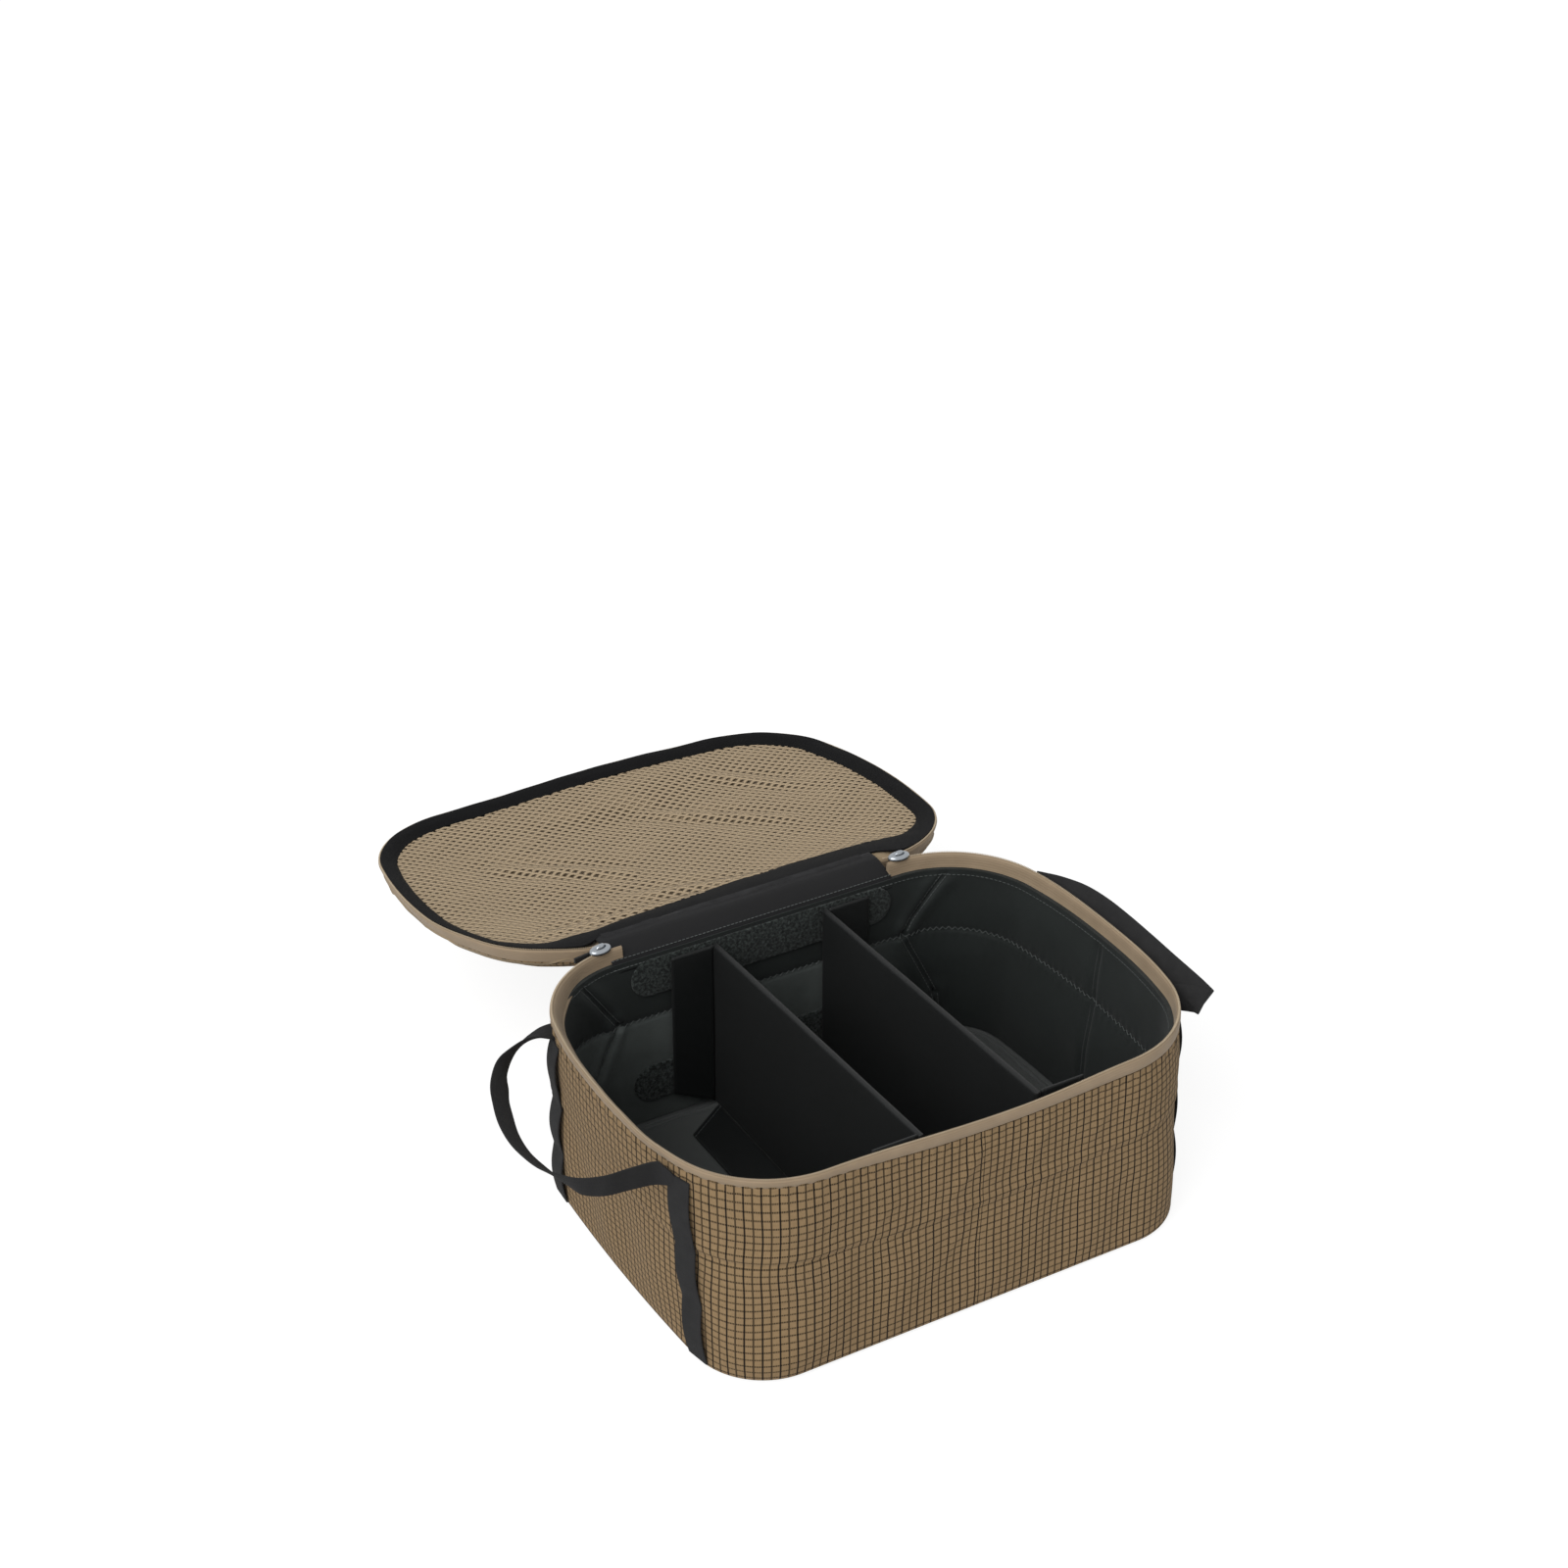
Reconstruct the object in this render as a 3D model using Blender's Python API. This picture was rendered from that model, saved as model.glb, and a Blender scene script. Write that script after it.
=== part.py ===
# Padded storage cube with a hinged mesh lid, two movable dividers, two webbing handles and a two-way zip.
# Metres, Z up. The base rests on the ground plane, the long side runs along X, the lid hinge is at the back.
import math

import bpy
import bmesh
from mathutils import Vector


for old in list(bpy.data.objects):
    bpy.data.objects.remove(old, do_unlink=True)


# Overall size of the body at the seam below the zip tape, and at the ground, where the short sides draw in
# and the long sides spread a little.
rim_half_length = 0.2065
rim_half_width = 0.1487
rim_corner_radius = 0.0813
rim_side_angle = math.radians(11.47)
end_draw_in = 0.0125
side_spread = 0.0011
base_half_length = rim_half_length - end_draw_in
base_half_width = rim_half_width + side_spread
base_corner_radius = 0.0546
base_side_angle = math.radians(3.25)
seam_height = 0.1530
zip_rise = 0.0120
rim_height = seam_height + zip_rise

# Clearance left between neighbouring layers, and how finely the outline is drawn.
gap = 0.0003
corner_steps = 8
rim_corner_steps = 16
side_steps = 4
long_steps = 3


def outline_shape(height):
    """Half length, half width, corner radius and side angle of the body at one height."""
    share = min(height / seam_height, 1)
    half_length = base_half_length + (rim_half_length - base_half_length) * share
    half_width = base_half_width + (rim_half_width - base_half_width) * share
    radius = base_corner_radius + (rim_corner_radius - base_corner_radius) * share
    angle = base_side_angle + (rim_side_angle - base_side_angle) * share
    return half_length, half_width, radius, angle


def outline_centres(height):
    """Corner arc centre, side arc centre and side arc radius, for a side that bows out between its corners."""
    half_length, half_width, radius, angle = outline_shape(height)
    corner_y = half_width - radius
    reach = corner_y / math.sin(angle)
    side_radius = reach + radius
    side_x = half_length - side_radius
    corner_x = side_x + reach * math.cos(angle)
    return corner_x, corner_y, side_x, side_radius


def place(station, inset, height):
    """Point of the outline at one station, moved inwards by inset."""
    kind, sign_x, sign_y, value = station
    half_length, half_width, radius, angle = outline_shape(height)
    corner_x, corner_y, side_x, side_radius = outline_centres(height)
    if kind == "side":
        turn = angle * value
        reach = side_radius - inset
        return Vector((sign_x * (side_x + reach * math.cos(turn)), reach * math.sin(turn), height))
    if kind == "corner":
        turn = angle + (math.pi / 2 - angle) * value
        reach = radius - inset
        x = corner_x + reach * math.cos(turn)
        y = corner_y + reach * math.sin(turn)
        return Vector((sign_x * x, sign_y * y, height))
    if kind == "long":
        return Vector((corner_x * value, sign_y * (half_width - inset), height))
    return Vector((value, sign_y * (half_width - inset), height))


def shares(first, last, steps):
    """Evenly spaced values from first to last."""
    return [first + (last - first) * i / steps for i in range(steps + 1)]


def side_run(sign_x, first, last):
    return [("side", sign_x, 0, value) for value in shares(first, last, side_steps)]


def corner_run(sign_x, sign_y, first, last, steps=corner_steps):
    return [("corner", sign_x, sign_y, value) for value in shares(first, last, steps)]


def long_run(sign_y, first, last):
    return [("long", 0, sign_y, value) for value in shares(first, last, long_steps)]


def joined(*runs):
    """One list of stations without the doubled ones where two runs meet."""
    stations = []
    for run in runs:
        for station in run:
            if stations:
                if same_station(stations[-1], station):
                    continue
            stations.append(station)
    return stations


def same_station(first, second):
    return (place(first, 0, seam_height) - place(second, 0, seam_height)).length < gap


whole_ring = joined(
    side_run(1, -1, 1),
    corner_run(1, 1, 0, 1),
    long_run(1, 1, -1),
    corner_run(-1, 1, 1, 0),
    side_run(-1, 1, -1),
    corner_run(-1, -1, 0, 1),
    long_run(-1, -1, 1),
    corner_run(1, -1, 1, 0),
)[:-1]


def material(name, colour, roughness, metallic=0.0):
    """Plain principled surface; the colour is given as display red, green and blue."""
    found = bpy.data.materials.get(name)
    if found:
        return found
    made = bpy.data.materials.new(name)
    made.use_nodes = True
    shader = made.node_tree.nodes["Principled BSDF"]
    linear = [((part + 0.055) / 1.055) ** 2.4 for part in colour]
    shader.inputs["Base Color"].default_value = (linear[0], linear[1], linear[2], 1)
    shader.inputs["Roughness"].default_value = roughness
    shader.inputs["Metallic"].default_value = metallic
    return made


grid_cloth = material("grid_cloth", (0.55, 0.46, 0.34), 0.85)
tape_cloth = material("zip_tape_cloth", (0.64, 0.56, 0.44), 0.85)
coil_nylon = material("coil_nylon", (0.55, 0.47, 0.36), 0.5)
lining_cloth = material("lining_cloth", (0.13, 0.14, 0.135), 0.7)
foam = material("closed_cell_foam", (0.2, 0.2, 0.2), 0.9)
loop_pile = material("loop_pile", (0.12, 0.13, 0.125), 0.95)
hook_tape = material("hook_tape", (0.1, 0.1, 0.1), 0.7)
webbing = material("webbing", (0.24, 0.24, 0.24), 0.75)
binding = material("binding_tape", (0.09, 0.09, 0.1), 0.8)
mesh_knit = material("mesh_knit", (0.58, 0.5, 0.4), 0.85)
divider_cloth = material("divider_cloth", (0.08, 0.09, 0.09), 0.75)
panel_cloth = material("panel_cloth", (0.21, 0.21, 0.21), 0.7)
zinc = material("zinc_alloy", (0.5, 0.5, 0.5), 0.35, 1.0)
cord_pull = material("cord_pull", (0.1, 0.1, 0.1), 0.8)


def finish(name, shape, surface, parent=None):
    """Close a shape into an object: faces out, sharp edges kept sharp, round faces smooth."""
    bmesh.ops.recalc_face_normals(shape, faces=shape.faces)
    for face in shape.faces:
        face.smooth = True
    sharp_turn = math.radians(35)
    for edge in shape.edges:
        if edge.calc_face_angle(math.pi) > sharp_turn:
            edge.smooth = False
    mesh = bpy.data.meshes.new(name)
    shape.to_mesh(mesh)
    shape.free()
    mesh.materials.append(surface)
    made = bpy.data.objects.new(name, mesh)
    bpy.context.collection.objects.link(made)
    if parent:
        made.parent = parent
    return made


def axis_empty(name, location, turn=(0, 0, 0)):
    """Empty on a joint axis that carries the pieces moving with it."""
    made = bpy.data.objects.new(name, None)
    bpy.context.collection.objects.link(made)
    made.location = location
    made.rotation_euler = turn
    return made


def moved(points, origin):
    return [point - origin for point in points]


def band(name, section, stations, surface, closed=True, parent=None, origin=Vector((0, 0, 0))):
    """Sweep a closed section of (inset, height) points along the outline stations."""
    shape = bmesh.new()
    rows = []
    for inset, height in section:
        row = moved([place(station, inset, height) for station in stations], origin)
        rows.append([shape.verts.new(point) for point in row])
    count = len(stations)
    spans = count if closed else count - 1
    for i in range(len(rows)):
        low = rows[i]
        high = rows[(i + 1) % len(rows)]
        for j in range(spans):
            k = (j + 1) % count
            shape.faces.new((low[j], low[k], high[k], high[j]))
    if not closed:
        shape.faces.new([row[0] for row in rows])
        shape.faces.new([row[-1] for row in reversed(rows)])
    return finish(name, shape, surface, parent)


def slab(name, inset, bottom, top, surface):
    """Flat plate that fills the outline at the base."""
    shape = bmesh.new()
    low = []
    high = []
    for station in whole_ring:
        point = place(station, inset, bottom)
        low.append(shape.verts.new((point.x, point.y, bottom)))
        high.append(shape.verts.new((point.x, point.y, top)))
    count = len(low)
    for j in range(count):
        k = (j + 1) % count
        shape.faces.new((low[j], low[k], high[k], high[j]))
    shape.faces.new(list(reversed(low)))
    shape.faces.new(high)
    return finish(name, shape, surface)


def prism(name, polygon, normal, first, last, surface, parent=None, origin=Vector((0, 0, 0))):
    """Extrude a polygon along one axis. The polygon is given in the other two axes, in order."""
    shape = bmesh.new()
    ends = []
    for level in (first, last):
        ring = []
        for one, two in polygon:
            if normal == "x":
                point = Vector((level, one, two))
            elif normal == "y":
                point = Vector((one, level, two))
            else:
                point = Vector((one, two, level))
            ring.append(shape.verts.new(point - origin))
        ends.append(ring)
    low, high = ends
    count = len(polygon)
    for j in range(count):
        k = (j + 1) % count
        shape.faces.new((low[j], low[k], high[k], high[j]))
    shape.faces.new(list(reversed(low)))
    shape.faces.new(high)
    return finish(name, shape, surface, parent)


def ribbon(name, stations, surface, parent=None):
    """Sweep a flat strap. Each station is its centre, half width vector and half thickness vector."""
    shape = bmesh.new()
    rings = []
    for centre, across, through in stations:
        corners = (centre - across - through, centre + across - through,
                   centre + across + through, centre - across + through)
        rings.append([shape.verts.new(point) for point in corners])
    for i in range(len(rings) - 1):
        for j in range(4):
            k = (j + 1) % 4
            shape.faces.new((rings[i][j], rings[i][k], rings[i + 1][k], rings[i + 1][j]))
    shape.faces.new(list(reversed(rings[0])))
    shape.faces.new(rings[-1])
    return finish(name, shape, surface, parent)


wall_level_shares = (0.157, 0.275, 0.392, 0.516, 0.758, 0.876)
wall_levels = tuple(seam_height * share for share in wall_level_shares)


def wall_section(outer_inset, inner_inset, low, high):
    """Closed section of one wall layer, with the shared levels between its ends."""
    levels = [low] + [level for level in wall_levels if low < level < high] + [high]
    outer = [(outer_inset, level) for level in levels]
    inner = [(inner_inset, level) for level in levels]
    return outer + list(reversed(inner))


# Outer cloth: one side wall that turns under at the base in a soft radius.
shell_thickness = 0.0010
turn_radius = 0.0080
turn_steps = 4
shell_outer = []
shell_inner = []
for share in shares(0, 1, turn_steps):
    turn = share * math.pi / 2
    outer_inset = turn_radius - turn_radius * math.sin(turn)
    outer_height = gap + turn_radius - turn_radius * math.cos(turn)
    inner_radius = turn_radius - shell_thickness
    inner_inset = turn_radius - inner_radius * math.sin(turn)
    inner_height = gap + turn_radius - inner_radius * math.cos(turn)
    shell_outer.append((outer_inset, outer_height))
    shell_inner.append((inner_inset, inner_height))
wall_fold_height = 0.0980
for level in sorted(wall_levels + (wall_fold_height, seam_height)):
    shell_outer.append((0, level))
    shell_inner.append((shell_thickness, level))
band("outer_shell", shell_outer + list(reversed(shell_inner)), whole_ring, grid_cloth)

# Base: the outer base cloth on the ground, a stiff board on it and the floor lining on top.
base_thickness = 0.0012
board_thickness = 0.0040
floor_lining_thickness = 0.0008
base_inset = turn_radius + gap
slab("base_panel", base_inset, 0, base_thickness, grid_cloth)
board_bottom = base_thickness + gap
board_top = board_bottom + board_thickness
slab("floor_board", base_inset, board_bottom, board_top, foam)
floor_lining_bottom = board_top + gap
floor_top = floor_lining_bottom + floor_lining_thickness
slab("floor_lining", base_inset, floor_lining_bottom, floor_top, lining_cloth)

# Wall padding: four foam panels, each split at the fold line halfway up so that the wall can fold.
pad_thickness = 0.0040
pad_outer = shell_thickness + gap
pad_inner = pad_outer + pad_thickness
fold_gap = 0.0010
pad_bottom = gap + turn_radius + gap
lower_pad_top = wall_fold_height - fold_gap / 2
upper_pad_bottom = wall_fold_height + fold_gap / 2
upper_pad_top = seam_height - gap
pad_end_share = 0.497
half_corner_steps = 4
pad_runs = {
    "front": joined(corner_run(-1, -1, 1 - pad_end_share, 1, half_corner_steps), long_run(-1, -1, 1),
                    corner_run(1, -1, 1, 1 - pad_end_share, half_corner_steps)),
    "back": joined(corner_run(1, 1, 1 - pad_end_share, 1, half_corner_steps), long_run(1, 1, -1),
                   corner_run(-1, 1, 1, 1 - pad_end_share, half_corner_steps)),
    "left": joined(corner_run(-1, 1, pad_end_share, 0, half_corner_steps), side_run(-1, 1, -1),
                   corner_run(-1, -1, 0, pad_end_share, half_corner_steps)),
    "right": joined(corner_run(1, -1, pad_end_share, 0, half_corner_steps), side_run(1, -1, 1),
                    corner_run(1, 1, 0, pad_end_share, half_corner_steps)),
}
for side_name, run in pad_runs.items():
    for level_name, low, high in (("lower", pad_bottom, lower_pad_top), ("upper", upper_pad_bottom, upper_pad_top)):
        pad_section = wall_section(pad_outer, pad_inner, low, high)
        band("wall_pad_" + side_name + "_" + level_name, pad_section, run, foam, closed=False)

# Inner lining: a lower and an upper skin that meet in a seam at the fold line.
lining_thickness = 0.0008
lining_outer = pad_inner + gap
lining_inner = lining_outer + lining_thickness
lining_bottom = floor_top
lining_top = seam_height - gap
lower_lining_top = wall_fold_height - gap / 2
upper_lining_bottom = wall_fold_height + gap / 2
for level_name, low, high in (("lower", lining_bottom, lower_lining_top), ("upper", upper_lining_bottom, lining_top)):
    lining_section = wall_section(lining_outer, lining_inner, low, high)
    band("lining_" + level_name, lining_section, whole_ring, lining_cloth)

# Loop strips: two flat stadium strips on the back wall and two on the front wall that hold the dividers.
strip_thickness = 0.0012
strip_end_margin = 0.0089
strip_half_length = outline_centres(seam_height)[0] - strip_end_margin
strip_half_height = 0.0155
upper_strip_margin = 0.0040
upper_strip_height = seam_height - upper_strip_margin - strip_half_height
lower_strip_height = 0.0400
strip_end_steps = 6


def flat_wall(low, high):
    """Distance from the middle to the lining of a long wall, where it is nearest between two heights."""
    return min(outline_shape(low)[1], outline_shape(high)[1]) - lining_inner - gap


for side_name, sign_y in (("back", 1), ("front", -1)):
    for level_name, height in (("upper", upper_strip_height), ("lower", lower_strip_height)):
        stadium = []
        straight = strip_half_length - strip_half_height
        for share in shares(-0.5, 0.5, strip_end_steps):
            turn = share * math.pi
            stadium.append((straight + strip_half_height * math.cos(turn), height + strip_half_height * math.sin(turn)))
        for share in shares(0.5, 1.5, strip_end_steps):
            turn = share * math.pi
            stadium.append((-straight + strip_half_height * math.cos(turn), height + strip_half_height * math.sin(turn)))
        strip_outer_y = flat_wall(height - strip_half_height, height + strip_half_height)
        strip_inner_y = strip_outer_y - strip_thickness
        prism("loop_strip_" + side_name + "_" + level_name, stadium, "y", sign_y * strip_outer_y,
              sign_y * strip_inner_y, loop_pile)

# Zip on the body: a cloth tape that runs round from one end of the hinge panel to the other, with a coil on its edge.
left_end_past_corner = 0.0041
right_end_short_of_corner = 0.0079
rim_centres = outline_centres(rim_height)
hinge_left_x = -(rim_centres[0] + left_end_past_corner)
hinge_right_x = rim_centres[0] - right_end_short_of_corner
tape_end_gap = 0.0005
tape_thickness = 0.0010
tape_bottom = seam_height + gap
coil_height = 0.0018
half_coil_width = 0.0012
half_closed_gap = 0.0007
coil_top = rim_height - half_closed_gap
coil_bottom = coil_top - coil_height
tape_top = coil_bottom - gap
left_end_turn = math.acos((-hinge_left_x + tape_end_gap - rim_centres[0]) / rim_corner_radius)
left_end_share = (left_end_turn - rim_side_angle) / (math.pi / 2 - rim_side_angle)
zip_run = joined(
    corner_run(-1, 1, left_end_share, 0, rim_corner_steps),
    side_run(-1, 1, -1),
    corner_run(-1, -1, 0, 1),
    long_run(-1, -1, 1),
    corner_run(1, -1, 1, 0),
    side_run(1, -1, 1),
    corner_run(1, 1, 0, 1, rim_corner_steps),
    [("point", 0, 1, hinge_right_x + tape_end_gap)],
)
coil_inset = tape_thickness / 2
tape_section = [(0, tape_bottom), (tape_thickness, tape_bottom), (tape_thickness, tape_top), (0, tape_top)]
band("body_zipper_tape", tape_section, zip_run, tape_cloth, closed=False)
coil_section = [(coil_inset - half_coil_width, coil_bottom), (coil_inset + half_coil_width, coil_bottom),
                (coil_inset + half_coil_width, coil_top), (coil_inset - half_coil_width, coil_top)]
band("body_zipper_coil", coil_section, zip_run, coil_nylon, closed=False)

# Lid hinge axis, found from where the lid edge lies open behind the body and where it closes on the rim.
hinge_stand_off = 0.0062
hinge_drop = 0.0044
hinge_y = rim_half_width + hinge_stand_off
hinge_z = rim_height - hinge_drop
hinge_point = Vector((0, hinge_y, hinge_z))
open_turn = math.radians(187.7)

# Hinge panel: soft cloth from the back wall seam out to the hinge axis.
panel_thickness = 0.0008
half_panel = panel_thickness / 2
panel_y = rim_half_width - tape_thickness / 2
panel_knee_rise = 0.0025
panel_knee_z = seam_height + panel_knee_rise
body_panel_reach = 0.0005
lid_panel_reach = 0.0010


def folded_strip(points):
    """Closed outline of a thin folded strip from its centre line in Y and Z."""
    left = []
    right = []
    for i, point in enumerate(points):
        before = points[max(i - 1, 0)]
        after = points[min(i + 1, len(points) - 1)]
        run = Vector((after[0] - before[0], after[1] - before[1]))
        run.normalize()
        side = Vector((-run.y, run.x)) * half_panel
        left.append((point[0] + side.x, point[1] + side.y))
        right.append((point[0] - side.x, point[1] - side.y))
    return left + list(reversed(right))


body_run = Vector((panel_y - hinge_y, panel_knee_z - hinge_z))
body_run.normalize()
body_panel_line = [(panel_y, tape_bottom), (panel_y, panel_knee_z),
                   (hinge_y + body_run.x * body_panel_reach, hinge_z + body_run.y * body_panel_reach)]
prism("hinge_panel", folded_strip(body_panel_line), "x", hinge_left_x, hinge_right_x, panel_cloth)

# Lid, drawn closed on the rim and turned open about the hinge axis.
lid_axis = axis_empty("lid_hinge_axis", hinge_point, (-open_turn, 0, 0))
lid_coil_bottom = rim_height + half_closed_gap
lid_coil_top = lid_coil_bottom + coil_height
lid_tape_bottom = lid_coil_top + gap
lid_tape_height = 0.0092
lid_tape_top = lid_tape_bottom + lid_tape_height
lid_tape_section = [(0, lid_tape_bottom), (tape_thickness, lid_tape_bottom), (tape_thickness, lid_tape_top),
                    (0, lid_tape_top)]
band("lid_zipper_tape", lid_tape_section, zip_run, tape_cloth, closed=False, parent=lid_axis, origin=hinge_point)
lid_coil_section = [(coil_inset - half_coil_width, lid_coil_bottom), (coil_inset + half_coil_width, lid_coil_bottom),
                    (coil_inset + half_coil_width, lid_coil_top), (coil_inset - half_coil_width, lid_coil_top)]
band("lid_zipper_coil", lid_coil_section, zip_run, coil_nylon, closed=False, parent=lid_axis, origin=hinge_point)

lid_knee_rise = 0.0010
lid_knee_z = lid_coil_top + lid_knee_rise
lid_run = Vector((panel_y - hinge_y, lid_knee_z - hinge_z))
lid_run.normalize()
lid_panel_line = [(hinge_y + lid_run.x * lid_panel_reach, hinge_z + lid_run.y * lid_panel_reach),
                  (panel_y, lid_knee_z), (panel_y, lid_tape_top)]
prism("lid_hinge_facing", folded_strip(lid_panel_line), "x", hinge_left_x, hinge_right_x, panel_cloth,
      parent=lid_axis, origin=hinge_point)

# Lid panel: the outer cloth with thin padding, a rounded edge and a slight dome.
lid_thickness = 0.0016
lid_wall_bottom = lid_tape_top + gap
lid_wall_height = 0.0015
lid_edge_radius = 0.0060
lid_dome_rise = 0.0030
lid_edge_steps = 3
lid_dome_inset_shares = (0.2, 0.4)
lid_dome_insets = tuple(rim_half_width * share for share in lid_dome_inset_shares)
lid_rings = [(0, lid_wall_bottom), (0, lid_wall_bottom + lid_wall_height)]
inner_rings = [(lid_thickness, lid_wall_bottom), (lid_thickness, lid_wall_bottom + lid_wall_height)]
edge_centre_z = lid_wall_bottom + lid_wall_height
for share in shares(0, 1, lid_edge_steps)[1:]:
    turn = share * math.pi / 2
    lid_rings.append((lid_edge_radius - lid_edge_radius * math.cos(turn),
                      edge_centre_z + lid_edge_radius * math.sin(turn)))
    inner_radius = lid_edge_radius - lid_thickness
    inner_rings.append((lid_edge_radius - inner_radius * math.cos(turn),
                        edge_centre_z + inner_radius * math.sin(turn)))
lid_edge_top = edge_centre_z + lid_edge_radius
for inset in lid_dome_insets:
    reach = (inset - lid_edge_radius) / (rim_half_width - lid_edge_radius)
    rise = lid_dome_rise * math.sin(reach * math.pi / 2)
    lid_rings.append((inset, lid_edge_top + rise))
    inner_rings.append((inset, lid_edge_top + rise - lid_thickness))


def lid_dish(name, surface, parent, origin):
    """Closed dish from the outer rings to a top point and back along the inner rings."""
    shape = bmesh.new()
    rows = []
    for inset, height in lid_rings:
        ring = moved([place(station, inset, height) for station in whole_ring], origin)
        rows.append([shape.verts.new(point) for point in ring])
    backs = []
    for inset, height in inner_rings:
        ring = moved([place(station, inset, height) for station in whole_ring], origin)
        backs.append([shape.verts.new(point) for point in ring])
    count = len(whole_ring)
    crown = shape.verts.new(Vector((0, 0, lid_edge_top + lid_dome_rise)) - origin)
    under = shape.verts.new(Vector((0, 0, lid_edge_top + lid_dome_rise - lid_thickness)) - origin)
    for group in (rows, backs):
        for i in range(len(group) - 1):
            for j in range(count):
                k = (j + 1) % count
                shape.faces.new((group[i][j], group[i][k], group[i + 1][k], group[i + 1][j]))
    for j in range(count):
        k = (j + 1) % count
        shape.faces.new((rows[-1][j], rows[-1][k], crown))
        shape.faces.new((backs[-1][j], backs[-1][k], under))
        shape.faces.new((rows[0][j], rows[0][k], backs[0][k], backs[0][j]))
    return finish(name, shape, surface, parent)


lid_dish("lid_panel", grid_cloth, lid_axis, hinge_point)

# Binding: a flat band of black tape round the inside of the lid edge.
binding_outer = coil_inset + half_coil_width + gap
binding_width = 0.0145
binding_inner = binding_outer + binding_width
binding_thickness = 0.0010
binding_bottom = lid_coil_bottom + gap
binding_top = binding_bottom + binding_thickness
binding_section = [(binding_outer, binding_bottom), (binding_inner, binding_bottom),
                   (binding_inner, binding_top), (binding_outer, binding_top)]
band("lid_binding", binding_section, whole_ring, binding, parent=lid_axis, origin=hinge_point)

# Mesh panel: a flat net sewn under the binding, its bars drawn coarse.
net_columns = 18
net_rows = 12
bar_share = 0.13
net_thickness = 0.0009
net_bottom = binding_top + gap
net_top = net_bottom + net_thickness
net_border_inset = 0.0030
net_border_lap = 0.0015
net_outer_inset = binding_outer + net_border_inset
net_inner_inset = binding_inner - net_border_lap


def outline_reach(x, y, edge):
    """How far the outline lies from the middle in the direction of x and y, as a multiple of that vector."""
    for i, first in enumerate(edge):
        second = edge[(i + 1) % len(edge)]
        run = second - first
        slope = x * run.y - y * run.x
        if slope <= 0:
            continue
        along_ray = (first.x * run.y - first.y * run.x) / slope
        along_edge = (first.x * y - first.y * x) / slope
        if along_ray > 0 and 0 <= along_edge <= 1:
            return along_ray
    return 1


def rounded_point(across, along, inset):
    """Map a place in a square of half size one into the rounded outline at this inset."""
    half_length, half_width, radius, angle = outline_shape(rim_height)
    x = (half_length - inset) * across
    y = (half_width - inset) * along
    size = max(abs(across), abs(along))
    edge = net_edges[inset]
    squeeze = outline_reach(x / size, y / size, edge)
    factor = 1 - (1 - squeeze) * size ** 3
    return x * factor, y * factor


net_edges = {}
for inset in (net_outer_inset, net_inner_inset):
    net_edges[inset] = [place(station, inset, rim_height) for station in whole_ring]


def net_lines(count):
    """Edges of the bars and of the gaps between them, from one side of the square to the other."""
    pitch = 2 / count
    lines = []
    for i in range(count):
        start = -1 + pitch * i
        lines.append(start + pitch * bar_share)
        lines.append(start + pitch * (1 - bar_share))
    return [-1] + lines + [1]


def flat_net(name, surface, parent, origin):
    """One closed plate with a grid of openings, following the rounded outline."""
    shape = bmesh.new()
    column_lines = net_lines(net_columns)
    row_lines = net_lines(net_rows)
    layers = []
    for level in (net_bottom, net_top):
        grid = []
        for j, along in enumerate(row_lines):
            row = []
            for i, across in enumerate(column_lines):
                border = i in (0, len(column_lines) - 1) or j in (0, len(row_lines) - 1)
                inset = net_outer_inset if border else net_inner_inset
                x, y = rounded_point(across, along, inset)
                row.append(shape.verts.new(Vector((x, y, level)) - origin))
            grid.append(row)
        layers.append(grid)
    low, high = layers

    def is_bar(i, j):
        """A cell is open when both its column and its row lie between bars."""
        return not (i % 2 == 1 and j % 2 == 1)

    width = len(column_lines) - 1
    height = len(row_lines) - 1
    for j in range(height):
        for i in range(width):
            if not is_bar(i, j):
                continue
            shape.faces.new((low[j][i], low[j][i + 1], low[j + 1][i + 1], low[j + 1][i]))
            shape.faces.new((high[j][i], high[j][i + 1], high[j + 1][i + 1], high[j + 1][i]))
            for (a, b), (next_i, next_j) in (
                    (((i, j), (i + 1, j)), (i, j - 1)), (((i + 1, j), (i + 1, j + 1)), (i + 1, j)),
                    (((i + 1, j + 1), (i, j + 1)), (i, j + 1)), (((i, j + 1), (i, j)), (i - 1, j))):
                outside = next_i < 0 or next_j < 0 or next_i >= width or next_j >= height
                if outside or not is_bar(next_i, next_j):
                    shape.faces.new((low[a[1]][a[0]], low[b[1]][b[0]], high[b[1]][b[0]], high[a[1]][a[0]]))
    return finish(name, shape, surface, parent)


flat_net("lid_mesh", mesh_knit, lid_axis, hinge_point)

# Webbing straps: four vertical straps near the corners, tacked down at three places so that each makes three loops.
webbing_half_width = 0.0095
webbing_thickness = 0.0014
handle_drop = 0.0015
handle_axis_z = seam_height - handle_drop
strap_top_drop = 0.0031
strap_top = handle_axis_z - strap_top_drop
strap_bottom = 0.0060
upper_tack_height = 0.1000
lower_tack_height = 0.0525
strap_bulge = 0.0035
strap_loops = 3
loop_steps = 8
front_strap_share = 0.080
rear_strap_share = 0.980
strap_tacks = (strap_top, upper_tack_height, lower_tack_height, strap_bottom)


def strap_station(sign_x, sign_y):
    """Outline station the strap follows: the front straps sit on the corner, the rear ones where the side ends."""
    if sign_y < 0:
        return ("corner", sign_x, sign_y, front_strap_share)
    return ("side", sign_x, 0, rear_strap_share)


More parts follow.
